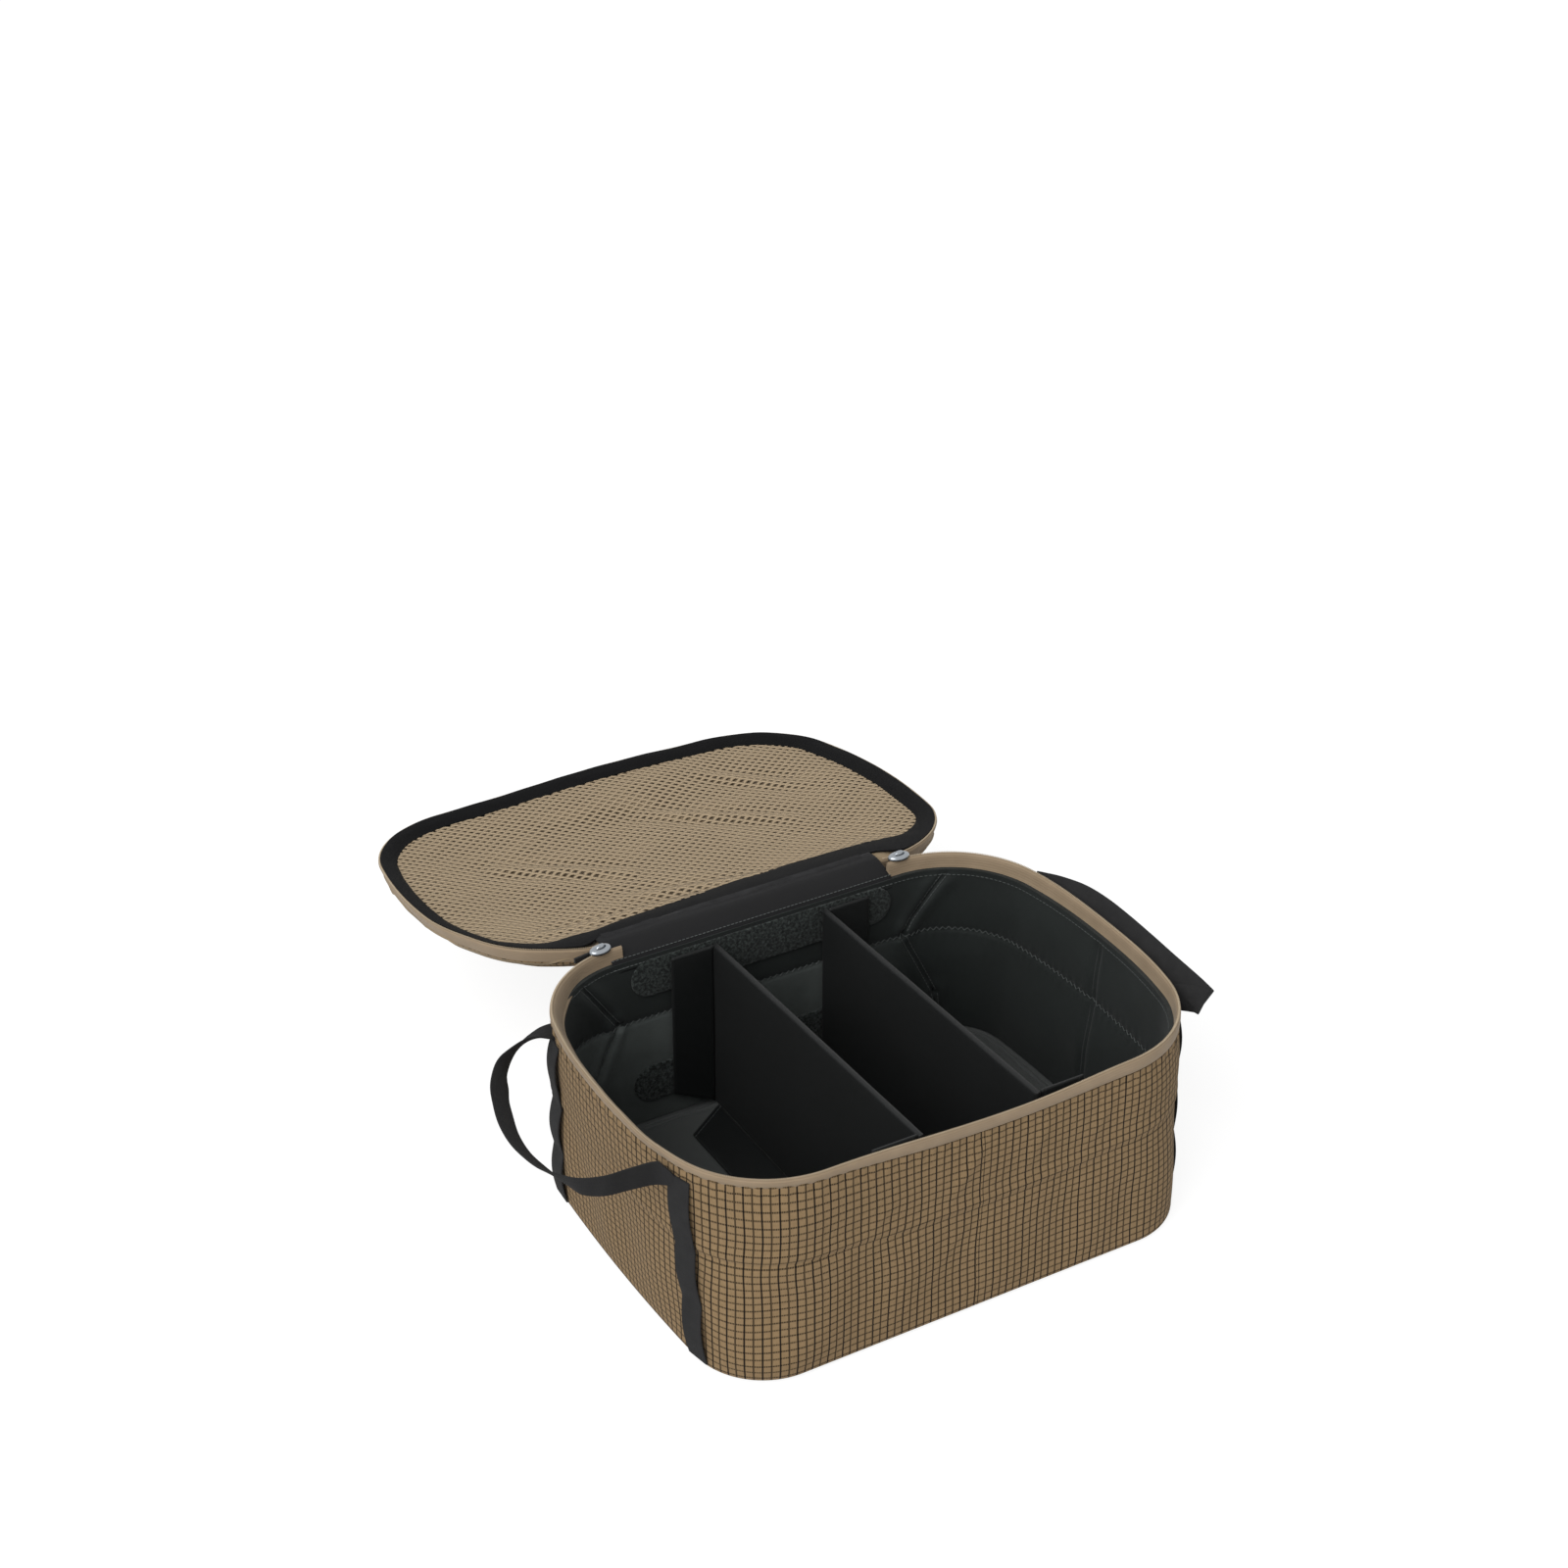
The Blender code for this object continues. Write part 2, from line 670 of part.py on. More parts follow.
def strap(name, sign_x, sign_y):
    stations = []
    for i in range(strap_loops):
        top = strap_tacks[i]
        bottom = strap_tacks[i + 1]
        steps = shares(0, 1, loop_steps)
        if i:
            steps = steps[1:]
        for share in steps:
            level = top + (bottom - top) * share
            station = strap_station(sign_x, sign_y)
            skin = place(station, 0, level)
            out = place(station, -webbing_thickness, level) - skin
            out.z = 0
            out.normalize()
            lift = gap + webbing_thickness / 2 + strap_bulge * math.sin(share * math.pi) ** 2
            across = Vector((0, 0, 1)).cross(out)
            stations.append((skin + out * lift, across * webbing_half_width, out * webbing_thickness / 2))
    return ribbon(name, stations, webbing)


strap("strap_front_left", -1, -1)
strap("strap_rear_left", -1, 1)
strap("strap_front_right", 1, -1)
strap("strap_rear_right", 1, 1)

# Handles: a webbing loop on each short side, flat where it is sewn in and turned on edge along its run.
handle_steps = 4
twist_length = 0.0180
twist_start = 0.0060
tab_stand_off = 0.0018
front_tab_y = 0.0920
rear_tab_y = 0.0850
left_handle_reach = 0.0773
right_handle_reach = 0.0262
left_tab_lap = 0.0023
right_tab_lap = 0.0034
rear_tab_cut = 0.0010
left_handle_shares = (
    (0.08, -1.005), (0.21, -1.05), (0.41, -1.10), (0.76, -0.97), (0.925, -0.74), (1.0, -0.445), (0.925, 0.11),
    (0.735, 0.61), (0.48, 0.87), (0.245, 0.99), (0.10, 1.005),
)
right_handle_shares = (
    (0.19, -1.01), (0.50, -1.045), (0.78, -1.05), (0.955, -0.98), (1.0, -0.815), (0.985, -0.22), (0.955, 0.35),
    (0.90, 0.73), (0.705, 0.92), (0.38, 0.995), (0.15, 1.003),
)
left_handle_rise = math.radians(6)
right_handle_rise = math.radians(8)


def outline_x(y, height):
    """Half length of the body at a distance from the middle, on the side arc or the corner arc."""
    half_length, half_width, radius, angle = outline_shape(height)
    corner_x, corner_y, side_x, side_radius = outline_centres(height)
    if y > side_radius * math.sin(angle):
        return corner_x + math.sqrt(radius ** 2 - (y - corner_y) ** 2)
    return side_x + math.sqrt(side_radius ** 2 - y ** 2)


handle_axis_x = outline_x(rear_tab_y - webbing_half_width, handle_axis_z) + tab_stand_off


def handle_path(path_shares, reach, lap):
    """Way of one handle from its front tab round to its rear tab, out from the axis and along the wall."""
    path = [(-lap, -front_tab_y)]
    for out_share, along_share in path_shares:
        along = front_tab_y if along_share < 0 else rear_tab_y
        path.append((reach * out_share, along * along_share))
    path.append((rear_tab_cut - lap, rear_tab_y))
    return path


def smooth_path(points, steps):
    """Points along a smooth curve through the given ones."""
    path = []
    last = len(points) - 1
    for i in range(last):
        p0 = Vector(points[max(i - 1, 0)])
        p1 = Vector(points[i])
        p2 = Vector(points[i + 1])
        p3 = Vector(points[min(i + 2, last)])
        for step in range(steps):
            t = step / steps
            even = p1 * 2 + (p2 - p0) * t
            bend = (p0 * 2 - p1 * 5 + p2 * 4 - p3) * t * t
            turn = (p1 * 3 - p0 - p2 * 3 + p3) * t * t * t
            path.append((even + bend + turn) / 2)
    path.append(Vector(points[last]))
    return path


def handle(name, sign_x, path_points, rise):
    """One handle; its loop lies out from the wall, and the parent on the sewn line tilts it up."""
    carrier = axis_empty(name + "_axis", (sign_x * handle_axis_x, 0, handle_axis_z), (0, -sign_x * rise, 0))
    path = smooth_path(path_points, handle_steps)
    lengths = [0]
    for i in range(1, len(path)):
        lengths.append(lengths[-1] + (path[i] - path[i - 1]).length)
    up = Vector((0, 0, 1))
    stations = []
    for i, point in enumerate(path):
        ahead = path[min(i + 1, len(path) - 1)] - path[max(i - 1, 0)]
        run = Vector((sign_x * ahead.x, ahead.y, 0)).normalized()
        flat = up.cross(run)
        from_end = min(lengths[i], lengths[-1] - lengths[i])
        share = min(max((from_end - twist_start) / twist_length, 0), 1)
        turn = share * share * (3 - 2 * share) * math.pi / 2
        if lengths[i] > lengths[-1] / 2:
            turn = math.pi - turn
        across = flat * math.cos(turn) + up * math.sin(turn)
        through = run.cross(across)
        centre = Vector((sign_x * point.x, point.y, 0))
        stations.append((centre, across * webbing_half_width, through * webbing_thickness / 2))
    return ribbon(name, stations, webbing, carrier)


handle("handle_left", -1, handle_path(left_handle_shares, left_handle_reach, left_tab_lap), left_handle_rise)
handle("handle_right", 1, handle_path(right_handle_shares, right_handle_reach, right_tab_lap), right_handle_rise)

# Zip sliders: a saddle over the body coil that runs round the rear corner, with two ears for its pull.
slider_clearance = 0.0003
slider_plate = 0.0012
slider_bridge = 0.0008
slider_depth = 0.0066
slider_bottom = rim_height - slider_depth
slider_half_length = 0.0055
ear_half_length = 0.0014
ear_reach = 0.0031
ear_height = 0.0011
pull_half_height = 0.0020
pull_drop = 0.0032
pull_mid_height = rim_height - pull_drop
slider_inner = coil_inset + half_coil_width + slider_clearance
slider_outer = coil_inset - half_coil_width - slider_clearance
slider_ceiling = coil_top + slider_clearance
slider_top = slider_ceiling + slider_bridge
left_slider_turn = math.radians(82)
right_slider_turn = math.radians(88)


def rim_polar(sign_x, turn, inset, height):
    """Point at an angle round the rear corner centre of the rim."""
    reach = rim_corner_radius - inset
    x = rim_centres[0] + reach * math.cos(turn)
    y = rim_centres[1] + reach * math.sin(turn)
    return Vector((sign_x * x, y, height))


def slider(name, sign_x, turn):
    """Slider and the empty on the corner centre that it turns about."""
    origin = Vector((sign_x * rim_centres[0], rim_centres[1], rim_height))
    carrier = axis_empty(name + "_axis", origin)
    outer_face = slider_outer - slider_plate
    inner_face = slider_inner + slider_plate
    ear_gap_low = pull_mid_height - pull_half_height - slider_clearance
    ear_gap_high = pull_mid_height + pull_half_height + slider_clearance
    section = [(outer_face, slider_bottom), (slider_outer, slider_bottom), (slider_outer, slider_ceiling),
               (slider_inner, slider_ceiling), (slider_inner, slider_bottom), (inner_face, slider_bottom),
               (inner_face, slider_top), (outer_face, slider_top), (outer_face, ear_gap_high + ear_height),
               (outer_face, ear_gap_high), (outer_face, ear_gap_low), (outer_face, ear_gap_low - ear_height)]
    half_turn = slider_half_length / rim_corner_radius
    ear_turn = ear_half_length / rim_corner_radius
    turns = [turn - half_turn, turn - ear_turn, turn + ear_turn, turn + half_turn]
    shape = bmesh.new()
    rows = []
    for inset, height in section:
        rows.append([shape.verts.new(rim_polar(sign_x, at, inset, height) - origin) for at in turns])
    ears = []
    for i in range(len(rows)):
        low = rows[i]
        high = rows[(i + 1) % len(rows)]
        for j in range(len(turns) - 1):
            face = shape.faces.new((low[j], low[j + 1], high[j + 1], high[j]))
            if j == 1 and i in (8, 10):
                ears.append(face)
    shape.faces.new([row[0] for row in rows])
    shape.faces.new([row[-1] for row in reversed(rows)])
    bmesh.ops.recalc_face_normals(shape, faces=shape.faces)
    out = (rim_polar(sign_x, turn, 0, rim_height) - origin).normalized()
    for face in ears:
        grown = bmesh.ops.extrude_discrete_faces(shape, faces=[face])
        for vert in grown["faces"][0].verts:
            vert.co += out * ear_reach
    return finish(name, shape, zinc, carrier), carrier, origin


left_slider, left_carrier, left_origin = slider("slider_left", -1, left_slider_turn)
right_slider, right_carrier, right_origin = slider("slider_right", 1, right_slider_turn)

# Pulls: a narrow tab with a rounded end that turns on an upright pin between the slider ears.
pull_knuckle = 0.0011
pull_half_thickness = 0.0008
pull_length = 0.0200
pull_pivot_reach = 0.0018
pull_round_steps = 6


def pull(name, sign_x, turn, carrier, origin):
    pivot_inset = slider_outer - slider_plate - pull_pivot_reach
    pivot = rim_polar(sign_x, turn, pivot_inset, pull_mid_height)
    holder = axis_empty(name + "_axis", pivot - origin)
    holder.parent = carrier
    out = (rim_polar(sign_x, turn, 0, rim_height) - origin).normalized()
    ahead = Vector((out.y * sign_x, -out.x * sign_x, 0))
    outline = []
    for share in shares(0.5, 1.5, pull_round_steps):
        around = share * math.pi
        outline.append(ahead * pull_knuckle * math.cos(around) + out * pull_knuckle * math.sin(around))
    outline.append(ahead * pull_knuckle - out * pull_half_thickness)
    outline.append(ahead * pull_length - out * pull_half_thickness)
    outline.append(ahead * pull_length + out * pull_half_thickness)
    outline.append(ahead * pull_knuckle + out * pull_half_thickness)
    polygon = [(point.x, point.y) for point in outline]
    return prism(name, polygon, "z", -pull_half_height, pull_half_height, cord_pull, holder)


pull("pull_left", -1, left_slider_turn, left_carrier, left_origin)
pull("pull_right", 1, right_slider_turn, right_carrier, right_origin)

# Dividers: a padded board across the body with flaps that lie on the walls and the floor, and hook tape behind them.
divider_thickness = 0.0050
left_divider_x = -0.0420
right_divider_x = 0.0505
divider_positions = {"divider_1": left_divider_x, "divider_2": right_divider_x}
flap_signs = {"divider_1": -1, "divider_2": 1}
back_top_drop = 0.0060
front_top_rise = 0.0030
divider_back_top = seam_height - back_top_drop
divider_front_top = seam_height + front_top_rise
flap_length = 0.0342
flap_thickness = 0.0014
flap_low_corner = 0.0270
flap_bottom_clearance = 0.0011
hook_thickness = 0.0009
hook_margin = 0.0022
hook_end_margin = 0.0030
bottom_flap_margin = 0.0178
bottom_flap_slant = 0.0230
bottom_flap_half_root = base_half_width - bottom_flap_margin
bottom_flap_half_end = bottom_flap_half_root - bottom_flap_slant
divider_bottom = floor_top + gap
upper_strip_wall = flat_wall(floor_top, upper_strip_height + strip_half_height)
hook_outer_y = upper_strip_wall - strip_thickness - gap
hook_inner_y = hook_outer_y - hook_thickness
flap_outer_y = hook_inner_y - gap
flap_inner_y = flap_outer_y - flap_thickness
for divider_name, middle in divider_positions.items():
    sign = flap_signs[divider_name]
    origin = Vector((middle, 0, divider_bottom))
    carrier = axis_empty(divider_name + "_axis", origin)
    board = [(-flap_outer_y, divider_bottom), (flap_outer_y, divider_bottom), (flap_outer_y, divider_back_top),
             (-flap_outer_y, divider_front_top)]
    prism(divider_name + "_board", board, "x", middle - divider_thickness / 2, middle + divider_thickness / 2,
          divider_cloth, carrier, origin)
    root_x = middle + sign * (divider_thickness / 2 + gap)
    end_x = root_x + sign * flap_length
    bottom_flap_top = divider_bottom + flap_thickness
    bottom_flap = [(root_x, -bottom_flap_half_root), (root_x, bottom_flap_half_root),
                   (end_x, bottom_flap_half_end), (end_x, -bottom_flap_half_end)]
    prism(divider_name + "_flap_bottom", bottom_flap, "z", divider_bottom, bottom_flap_top, divider_cloth,
          carrier, origin)
    flap_root_z = bottom_flap_top + flap_bottom_clearance
    for side_name, sign_y, top in (("back", 1, divider_back_top), ("front", -1, divider_front_top)):
        flap = [(root_x, flap_root_z), (root_x, top), (end_x, top), (end_x, flap_low_corner)]
        prism(divider_name + "_flap_" + side_name, flap, "y", sign_y * flap_inner_y, sign_y * flap_outer_y,
              divider_cloth, carrier, origin)
        hook_root = root_x + sign * hook_margin
        hook_end = end_x - sign * hook_margin
        hook_low = flap_low_corner + hook_end_margin
        hook_high = divider_back_top - hook_end_margin
        hook = [(hook_root, hook_low), (hook_root, hook_high), (hook_end, hook_high), (hook_end, hook_low)]
        prism(divider_name + "_hook_" + side_name, hook, "y", sign_y * hook_inner_y, sign_y * hook_outer_y,
              hook_tape, carrier, origin)
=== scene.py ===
# Padded storage cube with a hinged mesh lid, two movable dividers, two webbing handles and a two-way zip.
import math

import bmesh
import bpy
from mathutils import Matrix, Vector, noise


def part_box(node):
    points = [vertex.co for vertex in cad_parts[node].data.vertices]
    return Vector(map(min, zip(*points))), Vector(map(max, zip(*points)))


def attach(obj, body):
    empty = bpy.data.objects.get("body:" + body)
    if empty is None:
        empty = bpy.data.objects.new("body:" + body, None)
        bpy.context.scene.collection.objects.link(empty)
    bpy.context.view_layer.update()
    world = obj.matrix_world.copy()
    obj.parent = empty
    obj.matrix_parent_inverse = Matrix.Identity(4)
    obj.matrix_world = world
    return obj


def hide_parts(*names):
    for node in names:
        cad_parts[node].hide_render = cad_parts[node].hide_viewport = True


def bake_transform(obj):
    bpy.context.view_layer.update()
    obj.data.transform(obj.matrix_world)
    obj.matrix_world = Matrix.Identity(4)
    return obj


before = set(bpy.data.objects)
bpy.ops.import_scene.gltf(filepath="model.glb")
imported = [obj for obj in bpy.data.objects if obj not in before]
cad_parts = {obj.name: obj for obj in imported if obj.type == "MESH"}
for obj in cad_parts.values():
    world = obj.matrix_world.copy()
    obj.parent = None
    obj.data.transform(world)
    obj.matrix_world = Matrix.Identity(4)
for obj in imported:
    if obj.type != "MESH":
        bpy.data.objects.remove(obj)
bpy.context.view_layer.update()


# Studio: a pale table top without texture, one large soft lamp at the front left and an even fill from the
# sky. The table is painted board; it takes the contact shadow and fades to plain white.
def linear(colour):
    """Linear light values of a display colour written as #rrggbb."""
    parts = [int(colour[i:i + 2], 16) / 255 for i in (1, 3, 5)]
    values = [part / 12.92 if part <= 0.04045 else ((part + 0.055) / 1.055) ** 2.4 for part in parts]
    return (*values, 1)


def add_node(tree, kind, inputs=None, **settings):
    """Add one node; each input takes a plain value or the socket of an earlier node."""
    node = tree.nodes.new(kind)
    for name, value in settings.items():
        setattr(node, name, value)
    for key, value in (inputs or {}).items():
        if isinstance(value, bpy.types.NodeSocket):
            tree.links.new(value, node.inputs[key])
        else:
            node.inputs[key].default_value = value
    return node


def empty_material(name):
    """Material with an empty tree."""
    made = bpy.data.materials.new(name)
    made.use_nodes = True
    made.node_tree.nodes.clear()
    return made


def maths(tree, operation, first, second):
    """Result of one operation on two values or sockets."""
    return add_node(tree, "ShaderNodeMath", {0: first, 1: second}, operation=operation).outputs[0]


def seen_directly(tree):
    """One for rays that reach the backdrop straight, by reflection or through glass, nought for its light."""
    rays = add_node(tree, "ShaderNodeLightPath").outputs
    direct = maths(tree, "MAXIMUM", rays["Is Camera Ray"], rays["Is Glossy Ray"])
    return maths(tree, "MAXIMUM", direct, rays["Is Transmission Ray"])


sky_level = 0.50
world = bpy.data.worlds.new("studio_sky")
world.use_nodes = True
world.node_tree.nodes.clear()
bpy.context.scene.world = world
sky_strength = add_node(world.node_tree, "ShaderNodeMapRange",
                        {"Value": seen_directly(world.node_tree), "To Min": sky_level,
                         "To Max": 1}).outputs[0]
sky = add_node(world.node_tree, "ShaderNodeBackground",
               {"Color": linear("#ffffff"), "Strength": sky_strength})
add_node(world.node_tree, "ShaderNodeOutputWorld", {"Surface": sky.outputs[0]})

table_half_size = 9.0
table_drop = 0.0003
table_glow = 0.84
table_paint = empty_material("matt_table_paint")
tree = table_paint.node_tree
direct = seen_directly(tree)
paint_colour = add_node(tree, "ShaderNodeMix", {0: direct, 6: linear("#e2e2e2"), 7: linear("#858585")},
                        data_type="RGBA").outputs[2]
glow_level = maths(tree, "MULTIPLY", direct, table_glow)
paint = add_node(tree, "ShaderNodeBsdfDiffuse", {"Color": paint_colour})
glow = add_node(tree, "ShaderNodeEmission", {"Color": linear("#ffffff"), "Strength": glow_level})
both = add_node(tree, "ShaderNodeAddShader", {0: paint.outputs[0], 1: glow.outputs[0]})
add_node(tree, "ShaderNodeOutputMaterial", {"Surface": both.outputs[0]})
table_mesh = bpy.data.meshes.new("table_top")
table_corners = [(x * table_half_size, y * table_half_size, -table_drop) for x, y in
                 ((-1, -1), (1, -1), (1, 1), (-1, 1))]
table_mesh.from_pydata(table_corners, [], [(0, 1, 2, 3)])
table_mesh.materials.append(table_paint)
table_top = bpy.data.objects.new("table_top", table_mesh)
bpy.context.scene.collection.objects.link(table_top)

lamp_strength = 2.3
lamp_softness = math.radians(42)
lamp_direction = Vector((-0.62, -0.37, 0.69))
lamp_data = bpy.data.lights.new("window_lamp", "SUN")
lamp_data.energy = lamp_strength
lamp_data.angle = lamp_softness
lamp = bpy.data.objects.new("window_lamp", lamp_data)
lamp.rotation_mode = "QUATERNION"
lamp.rotation_quaternion = lamp_direction.to_track_quat("Z", "Y")
bpy.context.scene.collection.objects.link(lamp)

camera_place = Vector((-0.8777, -1.3985, 1.2970))
camera_drop = math.radians(30.16)
camera_yaw = math.radians(-30.16)
camera_data = bpy.data.cameras.new("camera")
camera_data.lens = 66.18
camera_data.sensor_width = 36
camera = bpy.data.objects.new("camera", camera_data)
camera.location = camera_place
camera.rotation_euler = (math.pi / 2 - camera_drop, 0, camera_yaw)
bpy.context.scene.collection.objects.link(camera)
bpy.context.scene.camera = camera
bpy.context.scene.view_settings.view_transform = "Standard"


# Outer cloth: one woven polyester wall of tan cloth with a dark grid of thicker yarns, laid over thin foam.
# It is sewn to the zip tape above, creased by a seam halfway up where the wall folds, and turned under at
# the base.
rim_half_length = 0.2065
rim_half_width = 0.1487
rim_corner_radius = 0.0813
rim_side_angle = math.radians(11.47)
base_half_length = 0.1940
base_half_width = 0.1498
base_corner_radius = 0.0546
base_side_angle = math.radians(3.25)
seam_height = 0.1530
rim_height = 0.1650
hinge_left_x = -0.1225
hinge_right_x = 0.1105


def outline_shape(height):
    """Half length, half width, corner radius and side angle of the body at one height."""
    share = min(max(height, 0) / seam_height, 1)
    half_length = base_half_length + (rim_half_length - base_half_length) * share
    half_width = base_half_width + (rim_half_width - base_half_width) * share
    radius = base_corner_radius + (rim_corner_radius - base_corner_radius) * share
    angle = base_side_angle + (rim_side_angle - base_side_angle) * share
    return half_length, half_width, radius, angle


def outline_centres(height):
    """Corner arc centre, side arc centre and side arc radius, for a side that bows out between its
    corners."""
    half_length, half_width, radius, angle = outline_shape(height)
    corner_y = half_width - radius
    reach = corner_y / math.sin(angle)
    side_radius = reach + radius
    side_x = half_length - side_radius
    return side_x + reach * math.cos(angle), corner_y, side_x, side_radius


def quarter_length(height):
    """Way along the outline from the middle of a long side to the middle of a short one."""
    half_length, half_width, radius, angle = outline_shape(height)
    corner_x, corner_y, side_x, side_radius = outline_centres(height)
    return corner_x + radius * (math.pi / 2 - angle) + side_radius * angle


def ring_place(turn, height, inset=0):
    """Place and outward direction on the outline; turn is 0 at the front middle, 1 right, 2 back and 3
    left."""
    quarter = math.floor(turn) % 4
    share = turn - math.floor(turn)
    if quarter % 2:
        share = 1 - share
    sign_x = 1 if quarter in (0, 1) else -1
    sign_y = -1 if quarter in (0, 3) else 1
    half_length, half_width, radius, angle = outline_shape(height)
    corner_x, corner_y, side_x, side_radius = outline_centres(height)
    corner_arc = radius * (math.pi / 2 - angle)
    run = share * (corner_x + corner_arc + side_radius * angle)
    if run <= corner_x:
        return sign_x * run, sign_y * (half_width - inset), 0, sign_y
    if run <= corner_x + corner_arc:
        at = math.pi / 2 - (run - corner_x) / radius
        out_x, out_y = math.cos(at), math.sin(at)
        x = corner_x + (radius - inset) * out_x
        y = corner_y + (radius - inset) * out_y
    else:
        at = angle - (run - corner_x - corner_arc) / side_radius
        out_x, out_y = math.cos(at), math.sin(at)
        x = side_x + (side_radius - inset) * out_x
        y = (side_radius - inset) * out_y
    return sign_x * x, sign_y * y, sign_x * out_x, sign_y * out_y


def hump(value, low, middle, high):
    """Smooth hump: nought at low and high, one at the middle."""
    if value <= low or value >= high:
        return 0
    share = (value - low) / (middle - low) if value < middle else (high - value) / (high - middle)
    return math.sin(share * math.pi / 2) ** 2


def rim_drift(x, y):
    """How far the soft rim sags and leans out between its corners."""
    if y < -0.10:
        sag = hump(x, -0.118, 0.025, 0.140)
        return -0.0042 * sag, 0.0020 * sag
    if x > 0.15:
        return -0.0020 * hump(y, -0.075, 0, 0.075), 0
    if x < -0.15:
        return 0.0015 * hump(y, -0.025, 0.015, 0.060) - 0.0023 * hump(y, -0.095, -0.055, -0.022), 0
    return 0, 0


def wall_point(turn, height, inset, along=0):
    """Point of a wall layer, carried by the sagging rim; along shifts it sideways in the cloth."""
    x, y, out_x, out_y = ring_place(turn, height, inset)
    drop, push = rim_drift(x, y)
    pull_share = (min(height, rim_height) / rim_height) ** 8
    lean_share = (min(height, rim_height) / rim_height) ** 3
    lean = push * lean_share
    return Vector((x + out_x * lean - out_y * along, y + out_y * lean + out_x * along,
                   height + drop * pull_share))


def evenly(first, last, steps):
    """Evenly spaced values from first to last."""
    return [first + (last - first) * i / steps for i in range(steps + 1)]


def soft_step(value, low, high):
    """Smooth rise from nought at low to one at high."""
    share = min(max((value - low) / (high - low), 0), 1)
    return share * share * (3 - 2 * share)


def ripple(run, height, size, seed):
    """Smooth random wave of the cloth, from minus one to one, with humps of about the given size."""
    return noise.noise(Vector((run / size, height / size, seed)))


def segment_distance(place_x, place_y, start, end):
    """Distance from a straight line between two places, and the share along it."""
    run_x, run_y = end[0] - start[0], end[1] - start[1]
    length_2 = run_x * run_x + run_y * run_y
    share = min(max(((place_x - start[0]) * run_x + (place_y - start[1]) * run_y) / length_2, 0), 1)
    return math.hypot(place_x - start[0] - run_x * share, place_y - start[1] - run_y * share), share


wall_quarter = quarter_length(seam_height)
crease_height = 0.0950
front_crease_drop = 0.0090
cloth_folds = (
    ((0.000, 0.140), (-0.030, 0.097), 0.0015),
    ((0.052, 0.142), (0.030, 0.096), 0.0010),
    ((-0.070, 0.120), (-0.090, 0.097), 0.0009),
    ((0.105, 0.138), (0.080, 0.100), 0.0010),
    ((-0.012, 0.078), (-0.040, 0.040), 0.0008),
)


def crease_at(turn):
    """Height of the fold seam, which sags at the middle of the front."""
    x, y, out_x, out_y = ring_place(turn, crease_height)
    return crease_height - (front_crease_drop * hump(x, -0.17, 0.01, 0.17) if y < -0.1 else 0)


crease_swell = 0.0011
crease_depth = 0.0016
crease_half_width = 0.0022
upper_bulge = 0.0010
upper_wave = 0.0016
lower_ridge = 0.0026
lower_ridge_pitch = 0.070
lower_wave = 0.0012
fold_half_width = 0.0045
gather_pitch = 0.0105
gather_depth = 0.00055
deepest_outer_dent = -0.0014


def outer_relief(turn, height):
    """How far the padded outer wall stands out from its plain outline."""
    run = (turn if turn < 2 else turn - 4) * wall_quarter
    crease = crease_at(turn)
    above = height - crease
    x, y, out_x, out_y = ring_place(turn, crease)
    crisp = 0.30 + 0.70 * math.exp(-(math.hypot(x + 0.150, y + 0.130) / 0.060) ** 2)
    relief = crease_swell * math.exp(-((above - 0.0060) / 0.0060) ** 2)
    relief -= crease_depth * crisp * math.exp(-(above / crease_half_width) ** 2)
    if above > 0:
        share = min(above / (seam_height - 0.002 - crease), 1)
        relief += upper_bulge * math.sin(share * math.pi)
        relief += upper_wave * ripple(run, height, 0.050, 3.7) * math.sin(share * math.pi)
    else:
        share = max(height, 0) / crease
        bulge = math.sin(share * math.pi)
        ridge = 0.5 + 0.5 * math.sin(run * 2 * math.pi / lower_ridge_pitch + 2.0 * ripple(run, height, 0.12,
                                                                                          8.1))
        relief += (lower_ridge * ridge - 0.0006 + lower_wave * ripple(run, height, 0.045, 1.3)) * bulge
    for start, end, rise in cloth_folds:
        for place in ((run, rise), (-run + 4 * wall_quarter * (run < 0) - 2 * wall_quarter, rise * 0.6)):
            away, share = segment_distance(place[0], height, start, end)
            relief += place[1] * math.exp(-(away / fold_half_width) ** 2) * math.sin(min(share + 0.1,
                                                                                         1) * math.pi)
    relief += 0.0026 * math.exp(-((turn - 3.50) / 0.10) ** 2) * math.exp(-((height - 0.016) / 0.022) ** 2)
    gather = math.sin(run * 2 * math.pi / gather_pitch + 4 * ripple(run, 0, 0.030, 5.5))
    relief += gather_depth * gather * math.exp(-((seam_height - 0.003 - height) / 0.0060) ** 2)
    return max(relief, deepest_outer_dent)


def rim_roll(turn):
    """How far the zip tape is rolled over the rim: not at the right and front, fully on the left side."""
    around = turn % 4
    return soft_step(around, 2.47, 2.62) * (1 - soft_step(around, 3.55, 3.92))


rolled_seam_rise = 0.0050


def seam_rise(turn):
    """Extra height of the cloth's top seam where the tape is rolled inwards."""
    return rolled_seam_rise * rim_roll(turn)


def outer_shift(turn, height):
    """Sideways wander of the yarns, most where the fold seam gathers them."""
    run = (turn if turn < 2 else turn - 4) * wall_quarter
    near = math.exp(-((height - crease_at(turn)) / 0.030) ** 2)
    return (0.0008 + 0.0014 * near) * ripple(run, height, 0.035, 11.0)


